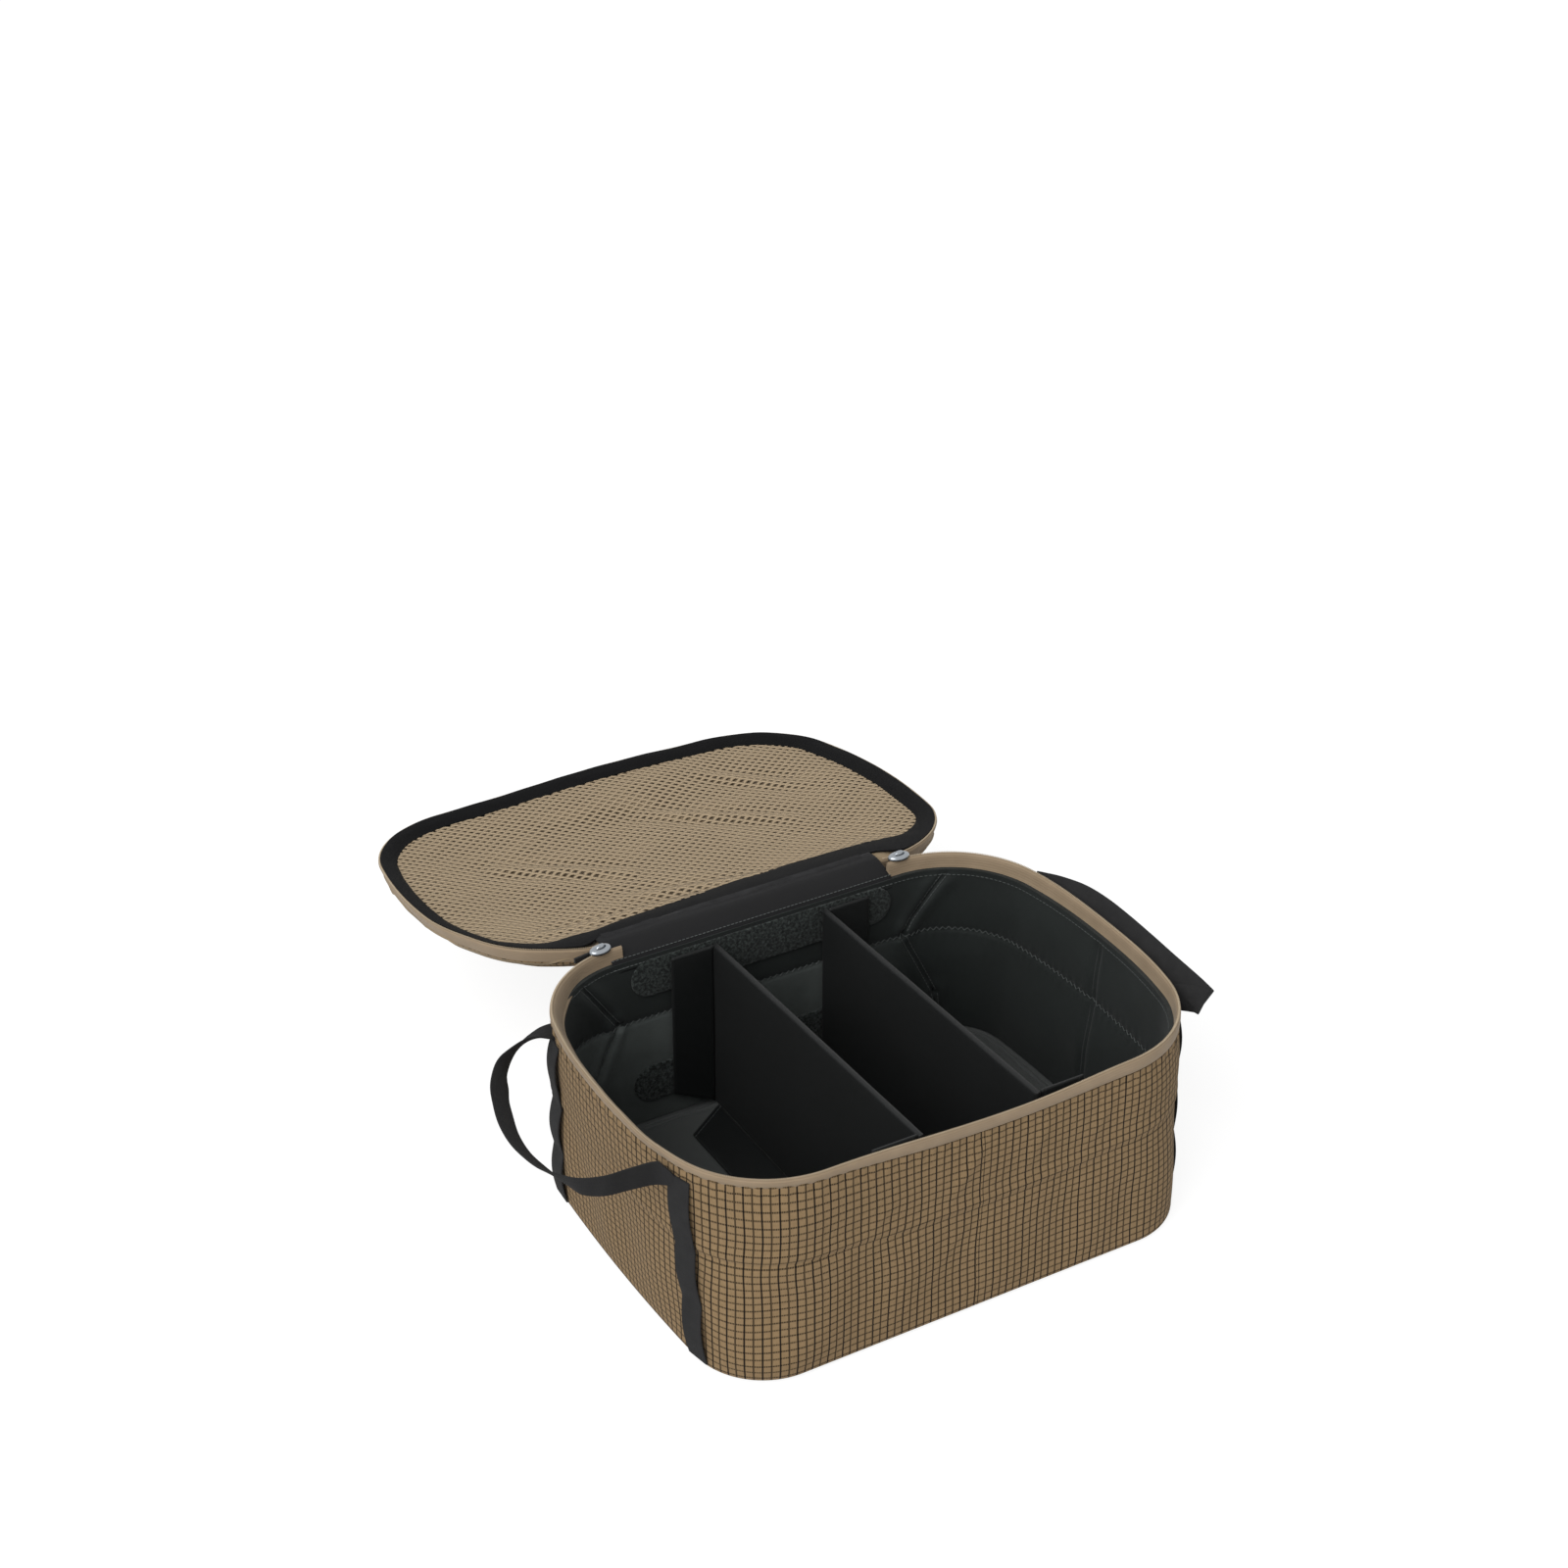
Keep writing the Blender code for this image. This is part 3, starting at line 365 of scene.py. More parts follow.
def cloth_mesh(name, rows, flat_rows, ring=False, tube=False, sharp_turn=50):
    """Mesh of a grid of points; a ring joins its last column to the first, a tube its last row to the first.
    flat_rows holds places in the flat cloth in metres, with one more column for a ring and one more row for
    a tube."""
    count = len(rows[0])
    spans = count if ring else count - 1
    bands = len(rows) if tube else len(rows) - 1
    faces = []
    flat = []
    for i in range(bands):
        low = i * count
        high = (i + 1) % len(rows) * count
        for j in range(spans):
            k = (j + 1) % count
            faces.append((low + j, low + k, high + k, high + j))
            flat += [*flat_rows[i][j], *flat_rows[i][j + 1], *flat_rows[i + 1][j + 1], *flat_rows[i + 1][j]]
    mesh = bpy.data.meshes.new(name)
    mesh.from_pydata([point for row in rows for point in row], [], faces)
    layer = mesh.uv_layers.new(name="cloth")
    layer.uv.foreach_set("vector", flat)
    mesh.shade_smooth()
    mesh.set_sharp_from_angle(angle=math.radians(sharp_turn))
    return mesh


def swept_mesh(name, stations, closed=False):
    """Solid swept along stations, each a ring of points; its ends are closed unless the sweep meets
    itself."""
    rows = [list(ring) for ring in zip(*stations)]
    widths = [0]
    for first, second in zip(rows, rows[1:] + rows[:1]):
        widths.append(widths[-1] + (second[0] - first[0]).length)
    lengths = [0]
    for first, second in zip(stations, stations[1:] + stations[:1]):
        lengths.append(lengths[-1] + (second[0] - first[0]).length)
    flat_rows = [[(length, width) for length in lengths] for width in widths]
    mesh = cloth_mesh(name, rows, flat_rows, ring=closed, tube=True)
    if not closed:
        shape = bmesh.new()
        shape.from_mesh(mesh)
        shape.verts.ensure_lookup_table()
        count = len(stations)
        shape.faces.new([shape.verts[i * count] for i in range(len(rows))])
        shape.faces.new([shape.verts[(i + 1) * count - 1] for i in reversed(range(len(rows)))])
        shape.to_mesh(mesh)
        shape.free()
        mesh.set_sharp_from_angle(angle=math.radians(50))
    return mesh


def add_piece(name, mesh, surface, body, replaced=(), thickness=0, offset=-1):
    """Put a finished mesh in the scene with its material, wall thickness, body and the solids that it
    stands for."""
    piece = bpy.data.objects.new(name, mesh)
    bpy.context.scene.collection.objects.link(piece)
    mesh.materials.clear()
    mesh.materials.append(surface)
    if thickness:
        wall = piece.modifiers.new("wall", "SOLIDIFY")
        wall.thickness = thickness
        wall.offset = offset
    if body:
        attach(piece, body)
    if replaced:
        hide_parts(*replaced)
    return piece


def line_mask(tree, position, pitch, width):
    """One on thin lines that repeat at a pitch, fading to nought beside them."""
    away = maths(tree, "PINGPONG", position, pitch / 2)
    return add_node(tree, "ShaderNodeMapRange", {"Value": away, "From Min": width * 0.30,
                                                 "From Max": width * 0.70,
                                                 "To Min": 1, "To Max": 0},
                                                 interpolation_type="SMOOTHSTEP").outputs[0]


def weave_height(tree, flat, thread):
    """Over and under of a plain weave with this thread spacing, from minus one to one."""
    scaled = add_node(tree, "ShaderNodeVectorMath", {0: flat, "Scale": math.pi / thread},
                      operation="SCALE").outputs[0]
    waves = add_node(tree, "ShaderNodeVectorMath", {0: scaled}, operation="SINE").outputs[0]
    parts = add_node(tree, "ShaderNodeSeparateXYZ", {0: waves}).outputs
    return maths(tree, "MULTIPLY", parts["X"], parts["Y"])


def product(tree, *factors):
    """All the factors multiplied."""
    made = factors[0]
    for factor in factors[1:]:
        made = maths(tree, "MULTIPLY", made, factor)
    return made


def blended(tree, share, first, second):
    """Colour between two others."""
    return add_node(tree, "ShaderNodeMix", {0: share, 6: first, 7: second}, data_type="RGBA").outputs[2]


def cloth_place(tree):
    """Place in the flat cloth."""
    return add_node(tree, "ShaderNodeUVMap", uv_map="cloth").outputs[0]


def object_place(tree):
    """Place on the piece itself."""
    return add_node(tree, "ShaderNodeTexCoord").outputs["Object"]


def speckle(tree, place, scale, detail, distortion=0.0):
    """Soft random spots."""
    spots = {"Vector": place, "Scale": scale, "Detail": detail, "Distortion": distortion}
    return add_node(tree, "ShaderNodeTexNoise", spots).outputs["Fac"]


def bumped(tree, height, strength, distance):
    """Surface direction over a fine relief of this height."""
    return add_node(tree, "ShaderNodeBump", {"Height": height, "Strength": strength,
                                             "Distance": distance}).outputs[0]


def finish_surface(tree, inputs):
    """Close a material's tree with a surface that has these inputs."""
    shader = add_node(tree, "ShaderNodeBsdfPrincipled", inputs)
    add_node(tree, "ShaderNodeOutputMaterial", {"Surface": shader.outputs[0]})


def grid_cloth_material(name, turn=0.0):
    """Polyester plain weave with a grid of thick dark yarns: dull, slightly uneven, its weft lines broken
    in dots."""
    made = empty_material(name)
    tree = made.node_tree
    across_pitch = 0.00575
    up_pitch = 0.00545
    dot_pitch = 0.00105
    yarn_width = 0.00112
    thread = 0.00045
    flat = cloth_place(tree)
    if turn:
        flat = add_node(tree, "ShaderNodeMapping", {"Vector": flat, "Rotation": (0, 0, turn)}).outputs[0]
    places = add_node(tree, "ShaderNodeSeparateXYZ", {0: flat}).outputs
    warp = line_mask(tree, places["X"], across_pitch, yarn_width)
    strong_warp = line_mask(tree, places["X"], across_pitch * 2, yarn_width)
    weft = line_mask(tree, places["Y"], up_pitch, yarn_width * 1.1)
    strong_weft = line_mask(tree, places["Y"], up_pitch * 2, yarn_width * 1.1)
    dots = line_mask(tree, places["X"], dot_pitch, dot_pitch * 0.68)
    warp_share = maths(tree, "ADD", product(tree, warp, 0.84), product(tree, strong_warp, 0.16))
    weft_share = maths(tree, "ADD", product(tree, weft, dots, 0.90), product(tree, strong_weft, dots, 0.10))
    yarn_share = maths(tree, "MAXIMUM", warp_share, weft_share)
    mottle = speckle(tree, flat, 420, 3)
    patch = speckle(tree, flat, 26, 2)
    ground = blended(tree, mottle, linear("#7f694c"), linear("#977f60"))
    ground = blended(tree, product(tree, patch, 0.22), ground, linear("#7b6746"))
    colour = blended(tree, yarn_share, ground, linear("#130d07"))
    weave = weave_height(tree, flat, thread)
    relief = maths(tree, "ADD", product(tree, weave, 0.5), yarn_share)
    bump = bumped(tree, relief, 0.5, 0.00018)
    finish_surface(tree, {"Base Color": colour, "Roughness": 0.88, "Specular IOR Level": 0.12,
                          "Sheen Weight": 0.02, "Sheen Roughness": 0.6, "Normal": bump})
    return made


grid_cloth = grid_cloth_material("woven_grid_polyester")
outer_columns = 560
outer_level_step = 0.0022
outer_cloth_thickness = 0.0008
turn_under_radius = 0.0048
turn_under_steps = 6
under_reach = 0.0045
outer_turns = [4 * i / outer_columns for i in range(outer_columns)]
outer_sections = [(turn_under_radius + under_reach, 0.0004, -turn_under_radius * math.pi / 2 - under_reach)]
for share in evenly(0, 1, turn_under_steps):
    at = share * math.pi / 2
    outer_sections.append((turn_under_radius * (1 - math.sin(at)),
                           0.0004 + turn_under_radius * (1 - math.cos(at)),
                           -turn_under_radius * (math.pi / 2 - at)))
outer_top = seam_height + 0.0006
wall_start = 0.0004 + turn_under_radius
level_count = round((outer_top - wall_start) / outer_level_step)
for level in evenly(wall_start, outer_top, level_count)[1:]:
    outer_sections.append((0, level, level - wall_start))
outer_rows = []
outer_flat = []
for inset, level, flat_up in outer_sections:
    row = []
    for turn in outer_turns:
        rise = seam_rise(turn) * soft_step(level, 0.115, outer_top)
        point = wall_point(turn, level + rise, inset,
                           outer_shift(turn, level) * soft_step(level, 0.004, 0.02))
        out = Vector(ring_place(turn, level)[2:] + (0,))
        row.append(point + out * outer_relief(turn, level) * soft_step(level, 0.001, 0.016))
    outer_rows.append(row)
    outer_flat.append([(wall_quarter * 4 * i / outer_columns, flat_up) for i in range(outer_columns + 1)])
outer_mesh = cloth_mesh("outer_cloth", outer_rows, outer_flat, ring=True)
outer_cloth = add_piece("outer_cloth", outer_mesh, grid_cloth, "body", ["outer_shell"],
                        outer_cloth_thickness)


def disc_rows(insets, level_of, columns, height, crown_share=0.12):
    """Rings of a flat panel inside the outline, from its edge inwards, then drawn together to its middle."""
    rows = []
    for inset in insets:
        rows.append([Vector((*ring_place(4 * i / columns, height, inset)[:2],
                             level_of(inset))) for i in range(columns)])
    last = rows[-1]
    level = last[0].z
    steps = round(1 / crown_share)
    for share in evenly(1, 0, steps)[1:]:
        rows.append([Vector((point.x * share, point.y * share, level)) for point in last])
    return rows


def planar_flat(rows):
    """Flat cloth places of a level panel, straight from above."""
    return [[(point.x, point.y) for point in row] + [(row[0].x, row[0].y)] for row in rows]


base_cloth_thickness = 0.0012
base_columns = 240
base_lift = 0.0001
base_rows = disc_rows(evenly(under_reach, 0.050, 5), lambda inset: base_lift, base_columns, 0)
base_rows = [list(reversed(row)) for row in base_rows]
base_mesh = cloth_mesh("base_cloth", base_rows, planar_flat(base_rows), ring=True)
base_cloth = add_piece("base_cloth", base_mesh, grid_cloth, "body", ["base_panel"],
                      base_cloth_thickness)


# Padded lining: charcoal polyester cloth over foam on the walls, with a zigzag fold seam halfway up and
# pleats that run from the rim corners to the fold seam and down to the floor, so that the walls can fold
# flat.
def plain_cloth_material(name, light, dark, thread, roughness, sheen=0.05, specular=0.25, relief=0.00012,
                         streak=0.25,
                         lower=None, split=0.0):
    """Plain woven polyester: fine even weave, faint slubs and soft broad shading; lower gives a lighter
    colour under split that fades out towards the right end: painted light on the lower walls."""
    made = empty_material(name)
    tree = made.node_tree
    flat = cloth_place(tree)
    slub_map = add_node(tree, "ShaderNodeMapping", {"Vector": flat, "Scale": (1, 6, 1)}).outputs[0]
    slubs = speckle(tree, slub_map, 240, 3)
    patches = speckle(tree, flat, 18, 3)
    shade = maths(tree, "ADD", product(tree, slubs, streak), product(tree, patches, 1 - streak))
    colour = blended(tree, shade, linear(dark), linear(light))
    # Painted light: under split, and fading out towards the right end, the cloth takes the lighter lower
    # colour in place of light on the lower walls.
    if lower:
        place = object_place(tree)
        up = add_node(tree, "ShaderNodeSeparateXYZ", {0: place}).outputs["Z"]
        painted_light_below_seam = add_node(tree, "ShaderNodeMapRange",
                         {"Value": up, "From Min": split + 0.0004, "From Max": split - 0.0004})
        across = add_node(tree, "ShaderNodeSeparateXYZ", {0: place}).outputs["X"]
        painted_light_fade_right = add_node(tree, "ShaderNodeMapRange",
                         {"Value": across, "From Min": 0.13, "From Max": 0.07}).outputs[0]
        share = product(tree, painted_light_below_seam.outputs[0], painted_light_fade_right)
        colour = blended(tree, share, colour, blended(tree, shade, linear(dark), linear(lower)))
    weave = weave_height(tree, flat, thread)
    bump = bumped(tree, weave, 0.5, relief)
    finish_surface(tree, {"Base Color": colour, "Roughness": roughness, "Specular IOR Level": specular,
                          "Sheen Weight": sheen, "Sheen Roughness": 0.5, "Normal": bump})
    return made


fold_seam_height = 0.0980
# Its lighter colour under the fold seam is painted light on the lower walls.
lining_cloth = plain_cloth_material("charcoal_polyester_lining", "#232827", "#151817", 0.0004, 0.62,
                                    lower="#5e6462",
                                    split=fold_seam_height)
lining_inset = 0.0064
lining_back_inset = 0.0032
floor_level = 0.0066
lining_top = 0.1522
lining_columns = 560
lining_level_step = 0.0024
pleat_lines = (
    ((0.1630, 0.1560), (0.1200, 0.1000)),
    ((0.1200, 0.1000), (0.1510, 0.0400)),
    ((0.1510, 0.0400), (0.1570, 0.0060)),
)


seam_groove = 0.0011
seam_groove_half_width = 0.0016
pucker_pitch = 0.0085
pleat_swell = 0.0016
pleat_depth = 0.0024
pleat_half_width = 0.0022
side_pleat_depth = 0.0020
deepest_lining_dent = -0.0022


def lining_relief(turn, height):
    """How far the padded lining stands in from its plain outline."""
    quarter_share = abs((turn + 1) % 2 - 1)
    run = quarter_share * wall_quarter
    around = turn * wall_quarter
    seam_away = height - fold_seam_height
    relief = -seam_groove * math.exp(-(seam_away / seam_groove_half_width) ** 2)
    band_share = (height - fold_seam_height) / (lining_top - fold_seam_height)
    if band_share < 0:
        band_share = (fold_seam_height - height) / (fold_seam_height - floor_level)
    bulge = math.sin(min(band_share, 1) * math.pi)
    corner_share = soft_step(run, 0.112, 0.135)
    relief += (0.0003 + 0.0012 * corner_share) * bulge
    relief += (0.0004 + 0.0012 * corner_share) * ripple(around, height, 0.040, 21.0) * bulge
    pucker = math.sin(around * 2 * math.pi / pucker_pitch + 3 * ripple(around, height, 0.02, 2.2))
    relief += (0.00012 + 0.00025 * corner_share) * pucker * math.exp(-((abs(seam_away) - 0.004) / 0.004) ** 2)
    for start, end in pleat_lines:
        away, share = segment_distance(run, height, start, end)
        swell = pleat_swell * math.exp(-((away - 0.006) / 0.006) ** 2)
        groove = pleat_depth * math.exp(-(away / pleat_half_width) ** 2)
        relief += corner_share_near(run) * (swell - groove)
    side_away = (1 - quarter_share) * wall_quarter - 0.002
    relief -= side_pleat_depth * math.exp(-(side_away / pleat_half_width) ** 2) * soft_step(height, 0.015,
                                                                                            0.04)
    under_tape = soft_step(height, lining_top - 0.012, lining_top)
    return max(relief, deepest_lining_dent) * (1 - under_tape) + 0.0003 * under_tape


def corner_share_near(run):
    """Pleats fade out before the flat stretch of wall that carries the loop strips."""
    return soft_step(run, 0.110, 0.121)


lining_levels = [floor_level - 0.0004] + evenly(floor_level + 0.0012, lining_top,
                                                 round((lining_top - floor_level) / lining_level_step))
lining_turns = [4 * i / lining_columns for i in range(lining_columns)]
lining_rows = []
lining_flat = []
for level in reversed(lining_levels):
    row = []
    for turn in lining_turns:
        point = wall_point(turn, level, lining_inset)
        inward = -Vector(ring_place(turn, level)[2:] + (0,))
        row.append(point + inward * lining_relief(turn, level))
    lining_rows.append(row)
    lining_flat.append([(wall_quarter * 4 * i / lining_columns, level) for i in range(lining_columns + 1)])
back_levels = evenly(lining_levels[0], lining_top, 8)
for level in back_levels:
    lining_rows.append([wall_point(turn, level, lining_back_inset) for turn in lining_turns])
    lining_flat.append([(wall_quarter * 4 * i / lining_columns, -level) for i in range(lining_columns + 1)])
lining_flat.append(lining_flat[0])
lining_mesh = cloth_mesh("padded_lining", lining_rows, lining_flat, ring=True, tube=True)
lining_nodes = ["lining_lower", "lining_upper"]
for side_name in ("front", "back", "left", "right"):
    for level_name in ("lower", "upper"):
        lining_nodes.append("wall_pad_" + side_name + "_" + level_name)
padded_lining = add_piece("padded_lining", lining_mesh, lining_cloth, "body", lining_nodes)


def new_tree(name, sizes, material_name):
    """Geometry tree with one mesh input, named sizes and a material; returns the tree and its input node."""
    tree = bpy.data.node_groups.new(name, "GeometryNodeTree")
    tree.interface.new_socket("Geometry", in_out="INPUT", socket_type="NodeSocketGeometry")
    for size_name in sizes:
        tree.interface.new_socket(size_name, in_out="INPUT", socket_type="NodeSocketFloat")
    tree.interface.new_socket(material_name, in_out="INPUT", socket_type="NodeSocketMaterial")
    tree.interface.new_socket("Geometry", in_out="OUTPUT", socket_type="NodeSocketGeometry")
    return tree, tree.nodes.new("NodeGroupInput").outputs


def end_tree(tree, made, surface):
    """Real geometry with the material set, as the tree's result."""
    real = add_node(tree, "GeometryNodeRealizeInstances", {0: made}).outputs[0]
    finished = add_node(tree, "GeometryNodeSetMaterial", {"Geometry": real, "Material": surface}).outputs[0]
    add_node(tree, "NodeGroupOutput", {0: finished})
    return tree


def path_mesh(name, paths):
    """Loose edges along each list of points."""
    points = []
    edges = []
    for path in paths:
        start = len(points)
        points += path
        edges += [(start + i, start + i + 1) for i in range(len(path) - 1)]
    mesh = bpy.data.meshes.new(name)
    mesh.from_pydata(points, edges, [])
    return mesh


def grow(name, guide, tree, sizes, surface, body, replaced=()):
    """Run a geometry tree on a guide mesh and keep the plain mesh that it makes."""
    piece = bpy.data.objects.new(name, guide)
    bpy.context.scene.collection.objects.link(piece)
    growth = piece.modifiers.new("growth", "NODES")
    growth.node_group = tree
    for item in tree.interface.items_tree:
        if item.in_out == "INPUT" and item.name in sizes:
            growth[item.identifier] = sizes[item.name]
        elif item.in_out == "INPUT" and item.socket_type == "NodeSocketMaterial":
            growth[item.identifier] = surface
    evaluated = piece.evaluated_get(bpy.context.evaluated_depsgraph_get())
    made = bpy.data.meshes.new_from_object(evaluated)
    piece.modifiers.clear()
    piece.data = made
    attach(piece, body)
    if replaced:
        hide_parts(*replaced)
    return piece


def thread_tree():
    """Round threads along loose edges."""
    tree, given = new_tree("threads", ("Radius",), "Yarn")
    path = add_node(tree, "GeometryNodeMeshToCurve", {0: given["Geometry"]}).outputs[0]
    ring = add_node(tree, "GeometryNodeCurvePrimitiveCircle",
                    {"Resolution": 4, "Radius": given["Radius"]}).outputs[0]
    thread = add_node(tree, "GeometryNodeCurveToMesh",
                      {"Curve": path, "Profile Curve": ring, "Fill Caps": True})
    smooth = add_node(tree, "GeometryNodeSetShadeSmooth", {"Geometry": thread.outputs[0]}).outputs[0]
    return end_tree(tree, smooth, given["Yarn"])


def yarn_material(name, light, dark, roughness=0.8):
    """Spun polyester yarn: dull, with faint light and dark twist."""
    made = empty_material(name)
    tree = made.node_tree
    place = object_place(tree)
    twist = speckle(tree, place, 900, 2)
    colour = blended(tree, twist, linear(dark), linear(light))
    finish_surface(tree, {"Base Color": colour, "Roughness": roughness, "Specular IOR Level": 0.25})
    return made


def along_line(points, spots):
    """Places at rising distances along a line of points."""
    made = []
    done = 0
    i = 0
    for spot in spots:
        while i < len(points) - 2 and done + (points[i + 1] - points[i]).length < spot:
            done += (points[i + 1] - points[i]).length
            i += 1
        step = points[i + 1] - points[i]
        made.append(points[i] + step * ((spot - done) / step.length))
    return made


def stitch_line(points, stitch, gap):
    """Separate straight stitches along a line of points."""
    total = sum((second - first).length for first, second in zip(points, points[1:]))
    starts = evenly(0, total - stitch, max(round(total / (stitch + gap)), 1))
    spots = [spot for start in starts for spot in (start, start + stitch)]
    places = along_line(points, spots)
    return [places[i:i + 2] for i in range(0, len(places), 2)]


def lining_place(turn, height, proud=0.0):
    """Point on the lining's face, or a little in front of it."""
    inward = -Vector(ring_place(turn, height)[2:] + (0,))
    return wall_point(turn, height, lining_inset) + inward * (lining_relief(turn, height) + proud)


threads = thread_tree()
charcoal_thread = yarn_material("charcoal_sewing_thread", "#5e6261", "#434746", 0.6)
thread_radius = 0.00030
zigzag_pitch = 0.0026
zigzag_half_height = 0.0013
pleat_stitch_reach = 0.0026
pleat_stitch = 0.0020
pleat_stitch_gap = 0.0012
rim_stitch = 0.0022
rim_stitch_gap = 0.0014
lining_stitch_paths = []
zigzag_count = round(4 * wall_quarter / zigzag_pitch)
for i in range(zigzag_count):
    pair = []
    for k in (i, i + 1):
        height = fold_seam_height + zigzag_half_height * (1 if k % 2 else -1)
        pair.append(lining_place(4 * k / zigzag_count, height, thread_radius))
    lining_stitch_paths.append(pair)
for quarter in range(4):
    for start, end in pleat_lines:
        for shift in (-pleat_stitch_reach, pleat_stitch_reach):
            line = []
            for share in evenly(0.04, 0.96, 30):
                run = start[0] + (end[0] - start[0]) * share
                height = start[1] + (end[1] - start[1]) * share
                if height < lining_top - 0.002:
                    away = (run + shift) / wall_quarter
                    turn = quarter + (1 - away if quarter % 2 else away)
                    line.append(lining_place(turn, height, thread_radius * 0.6))
            lining_stitch_paths += stitch_line(line, pleat_stitch, pleat_stitch_gap)
rim_stitch_height = 0.1478
rim_stitch_turns = evenly(2.36, 5.64, 500)
rim_stitch_line = [lining_place(turn, rim_stitch_height, thread_radius * 0.6) for turn in rim_stitch_turns]
lining_stitch_paths += stitch_line(rim_stitch_line, rim_stitch, rim_stitch_gap)
grow("lining_stitches", path_mesh("lining_stitch_paths", lining_stitch_paths), threads,
     {"Radius": thread_radius},
     charcoal_thread, "body")


# Floor: a stiff board in a charcoal cloth cover, pressed down to the seam where the walls meet it, with two
# uneven grooves round its edge.
floor_columns = 420
floor_insets = (0.0038, 0.0066, 0.0072, 0.0082, 0.0092, 0.0102, 0.0112, 0.0122, 0.0132, 0.0142, 0.0152,
                0.0162, 0.0172,
                0.0185, 0.0200, 0.0240, 0.0330, 0.0440, 0.0530)
floor_bottom = 0.0016
floor_edge_drop = 0.0016
floor_wave = 0.0003
floor_groove_wander = 0.0020
floor_groove_half_width = 0.0011


def floor_level_at(inset):
    """Height of the floor at a distance from the outline: it dips beside the wall."""
    return floor_level - floor_edge_drop * math.exp(-((inset - 0.0066) / 0.0030) ** 2)


floor_grooves = ((0.0105, 0.0016, 7.0), (0.0150, 0.0010, 13.0))


def floor_edge_away(x, y):
    """Rough distance from a place on the floor to the outline."""
    half_length, half_width, radius, angle = outline_shape(floor_level)
    over_x = max(abs(x) - (half_length - radius), 0)
    over_y = max(abs(y) - (half_width - radius), 0)
    return radius - math.hypot(over_x, over_y) if over_x and over_y else min(half_length - abs(x),
                                                                             half_width - abs(y))


floor_rows = disc_rows(floor_insets, floor_level_at, floor_columns, floor_level)
floor_flat = planar_flat(floor_rows)
under_rows = disc_rows(floor_insets[:1] + (0.0530,), lambda inset: floor_bottom, floor_columns, floor_level)
floor_rows = list(reversed(floor_rows))
for row in floor_rows:
    for point in row:
        wave = noise.noise(Vector((point.x / 0.05, point.y / 0.05, 4.0)))
        point.z += floor_wave * (wave - 1) * soft_step(point.z, floor_level - 0.001, floor_level)
        edge_away = floor_edge_away(point.x, point.y)
        for groove, depth, seed in floor_grooves:
            place = groove + floor_groove_wander * noise.noise(Vector((point.x / 0.022, point.y / 0.022,
                                                                       seed)))
            point.z -= depth * math.exp(-((edge_away - place) / floor_groove_half_width) ** 2)
floor_rows = floor_rows + under_rows
floor_flat = planar_flat(floor_rows)
floor_mesh = cloth_mesh("floor_pad", floor_rows, floor_flat, ring=True)
floor_cloth = plain_cloth_material("charcoal_polyester_floor", "#4a4c4b", "#383b3a", 0.0004, 0.65)
floor_pad = add_piece("floor_pad", floor_mesh, floor_cloth, "body",
                      ["floor_lining", "floor_board"])


# Loop strips: black loop pile tape with round ends, sewn flat on the two long walls to hold the divider
# flaps.
def loop_pile_material(name, light, dark):
    """Nylon loop pile: matt, fuzzy, with short brushed tufts that catch the light."""
    made = empty_material(name)
    tree = made.node_tree
    place = object_place(tree)
    tufts = speckle(tree, place, 700, 4, 1.5)
    brushed = speckle(tree, place, 420, 2)
    shade = product(tree, tufts, brushed)
    level = add_node(tree, "ShaderNodeMapRange", {"Value": shade, "From Min": 0.18,
                                                  "From Max": 0.40}).outputs[0]
    colour = blended(tree, level, linear(dark), linear(light))
    bump = bumped(tree, tufts, 0.8, 0.0009)
    finish_surface(tree, {"Base Color": colour, "Roughness": 0.95, "Specular IOR Level": 0.2,
                          "Sheen Weight": 0.15, "Sheen Roughness": 0.4, "Normal": bump})
    return made


def inset_outline(points, distance):
    """Convex outline moved inwards; the points run anticlockwise."""
    moved = []
    for i, point in enumerate(points):
        before = points[i - 1]
        after = points[(i + 1) % len(points)]
        first = Vector((point[0] - before[0], point[1] - before[1])).normalized()
        second = Vector((after[0] - point[0], after[1] - point[1])).normalized()
        side = Vector((-first.y - second.y, first.x + second.x)).normalized()
        reach = distance / max(side.dot(Vector((-first.y, first.x))), 0.2)
        moved.append((point[0] + side.x * reach, point[1] + side.y * reach))
    return moved


def rounded_plate(name, outline, thickness, edge, place):
    """Flat plate with rounded upper edges; place turns a point of the outline and its level into a point in
    space."""
    levels = [(0, 0), (0, thickness - edge)]
    for share in evenly(0, 1, 3)[1:]:
        at = share * math.pi / 2
        levels.append((edge * (1 - math.cos(at)), thickness - edge + edge * math.sin(at)))
    shape = bmesh.new()
    rings = []
    for inset, level in levels:
        ring = inset_outline(outline, inset) if inset else outline
        rings.append([shape.verts.new(place(a, b, level)) for a, b in ring])
    count = len(outline)
    for low, high in zip(rings, rings[1:]):
        for j in range(count):
            k = (j + 1) % count
            shape.faces.new((low[j], low[k], high[k], high[j]))
    shape.faces.new(list(reversed(rings[0])))
    shape.faces.new(rings[-1])
    bmesh.ops.recalc_face_normals(shape, faces=shape.faces)
    mesh = bpy.data.meshes.new(name)
    shape.to_mesh(mesh)
    shape.free()
    mesh.shade_smooth()
    mesh.set_sharp_from_angle(angle=math.radians(40))
    return mesh


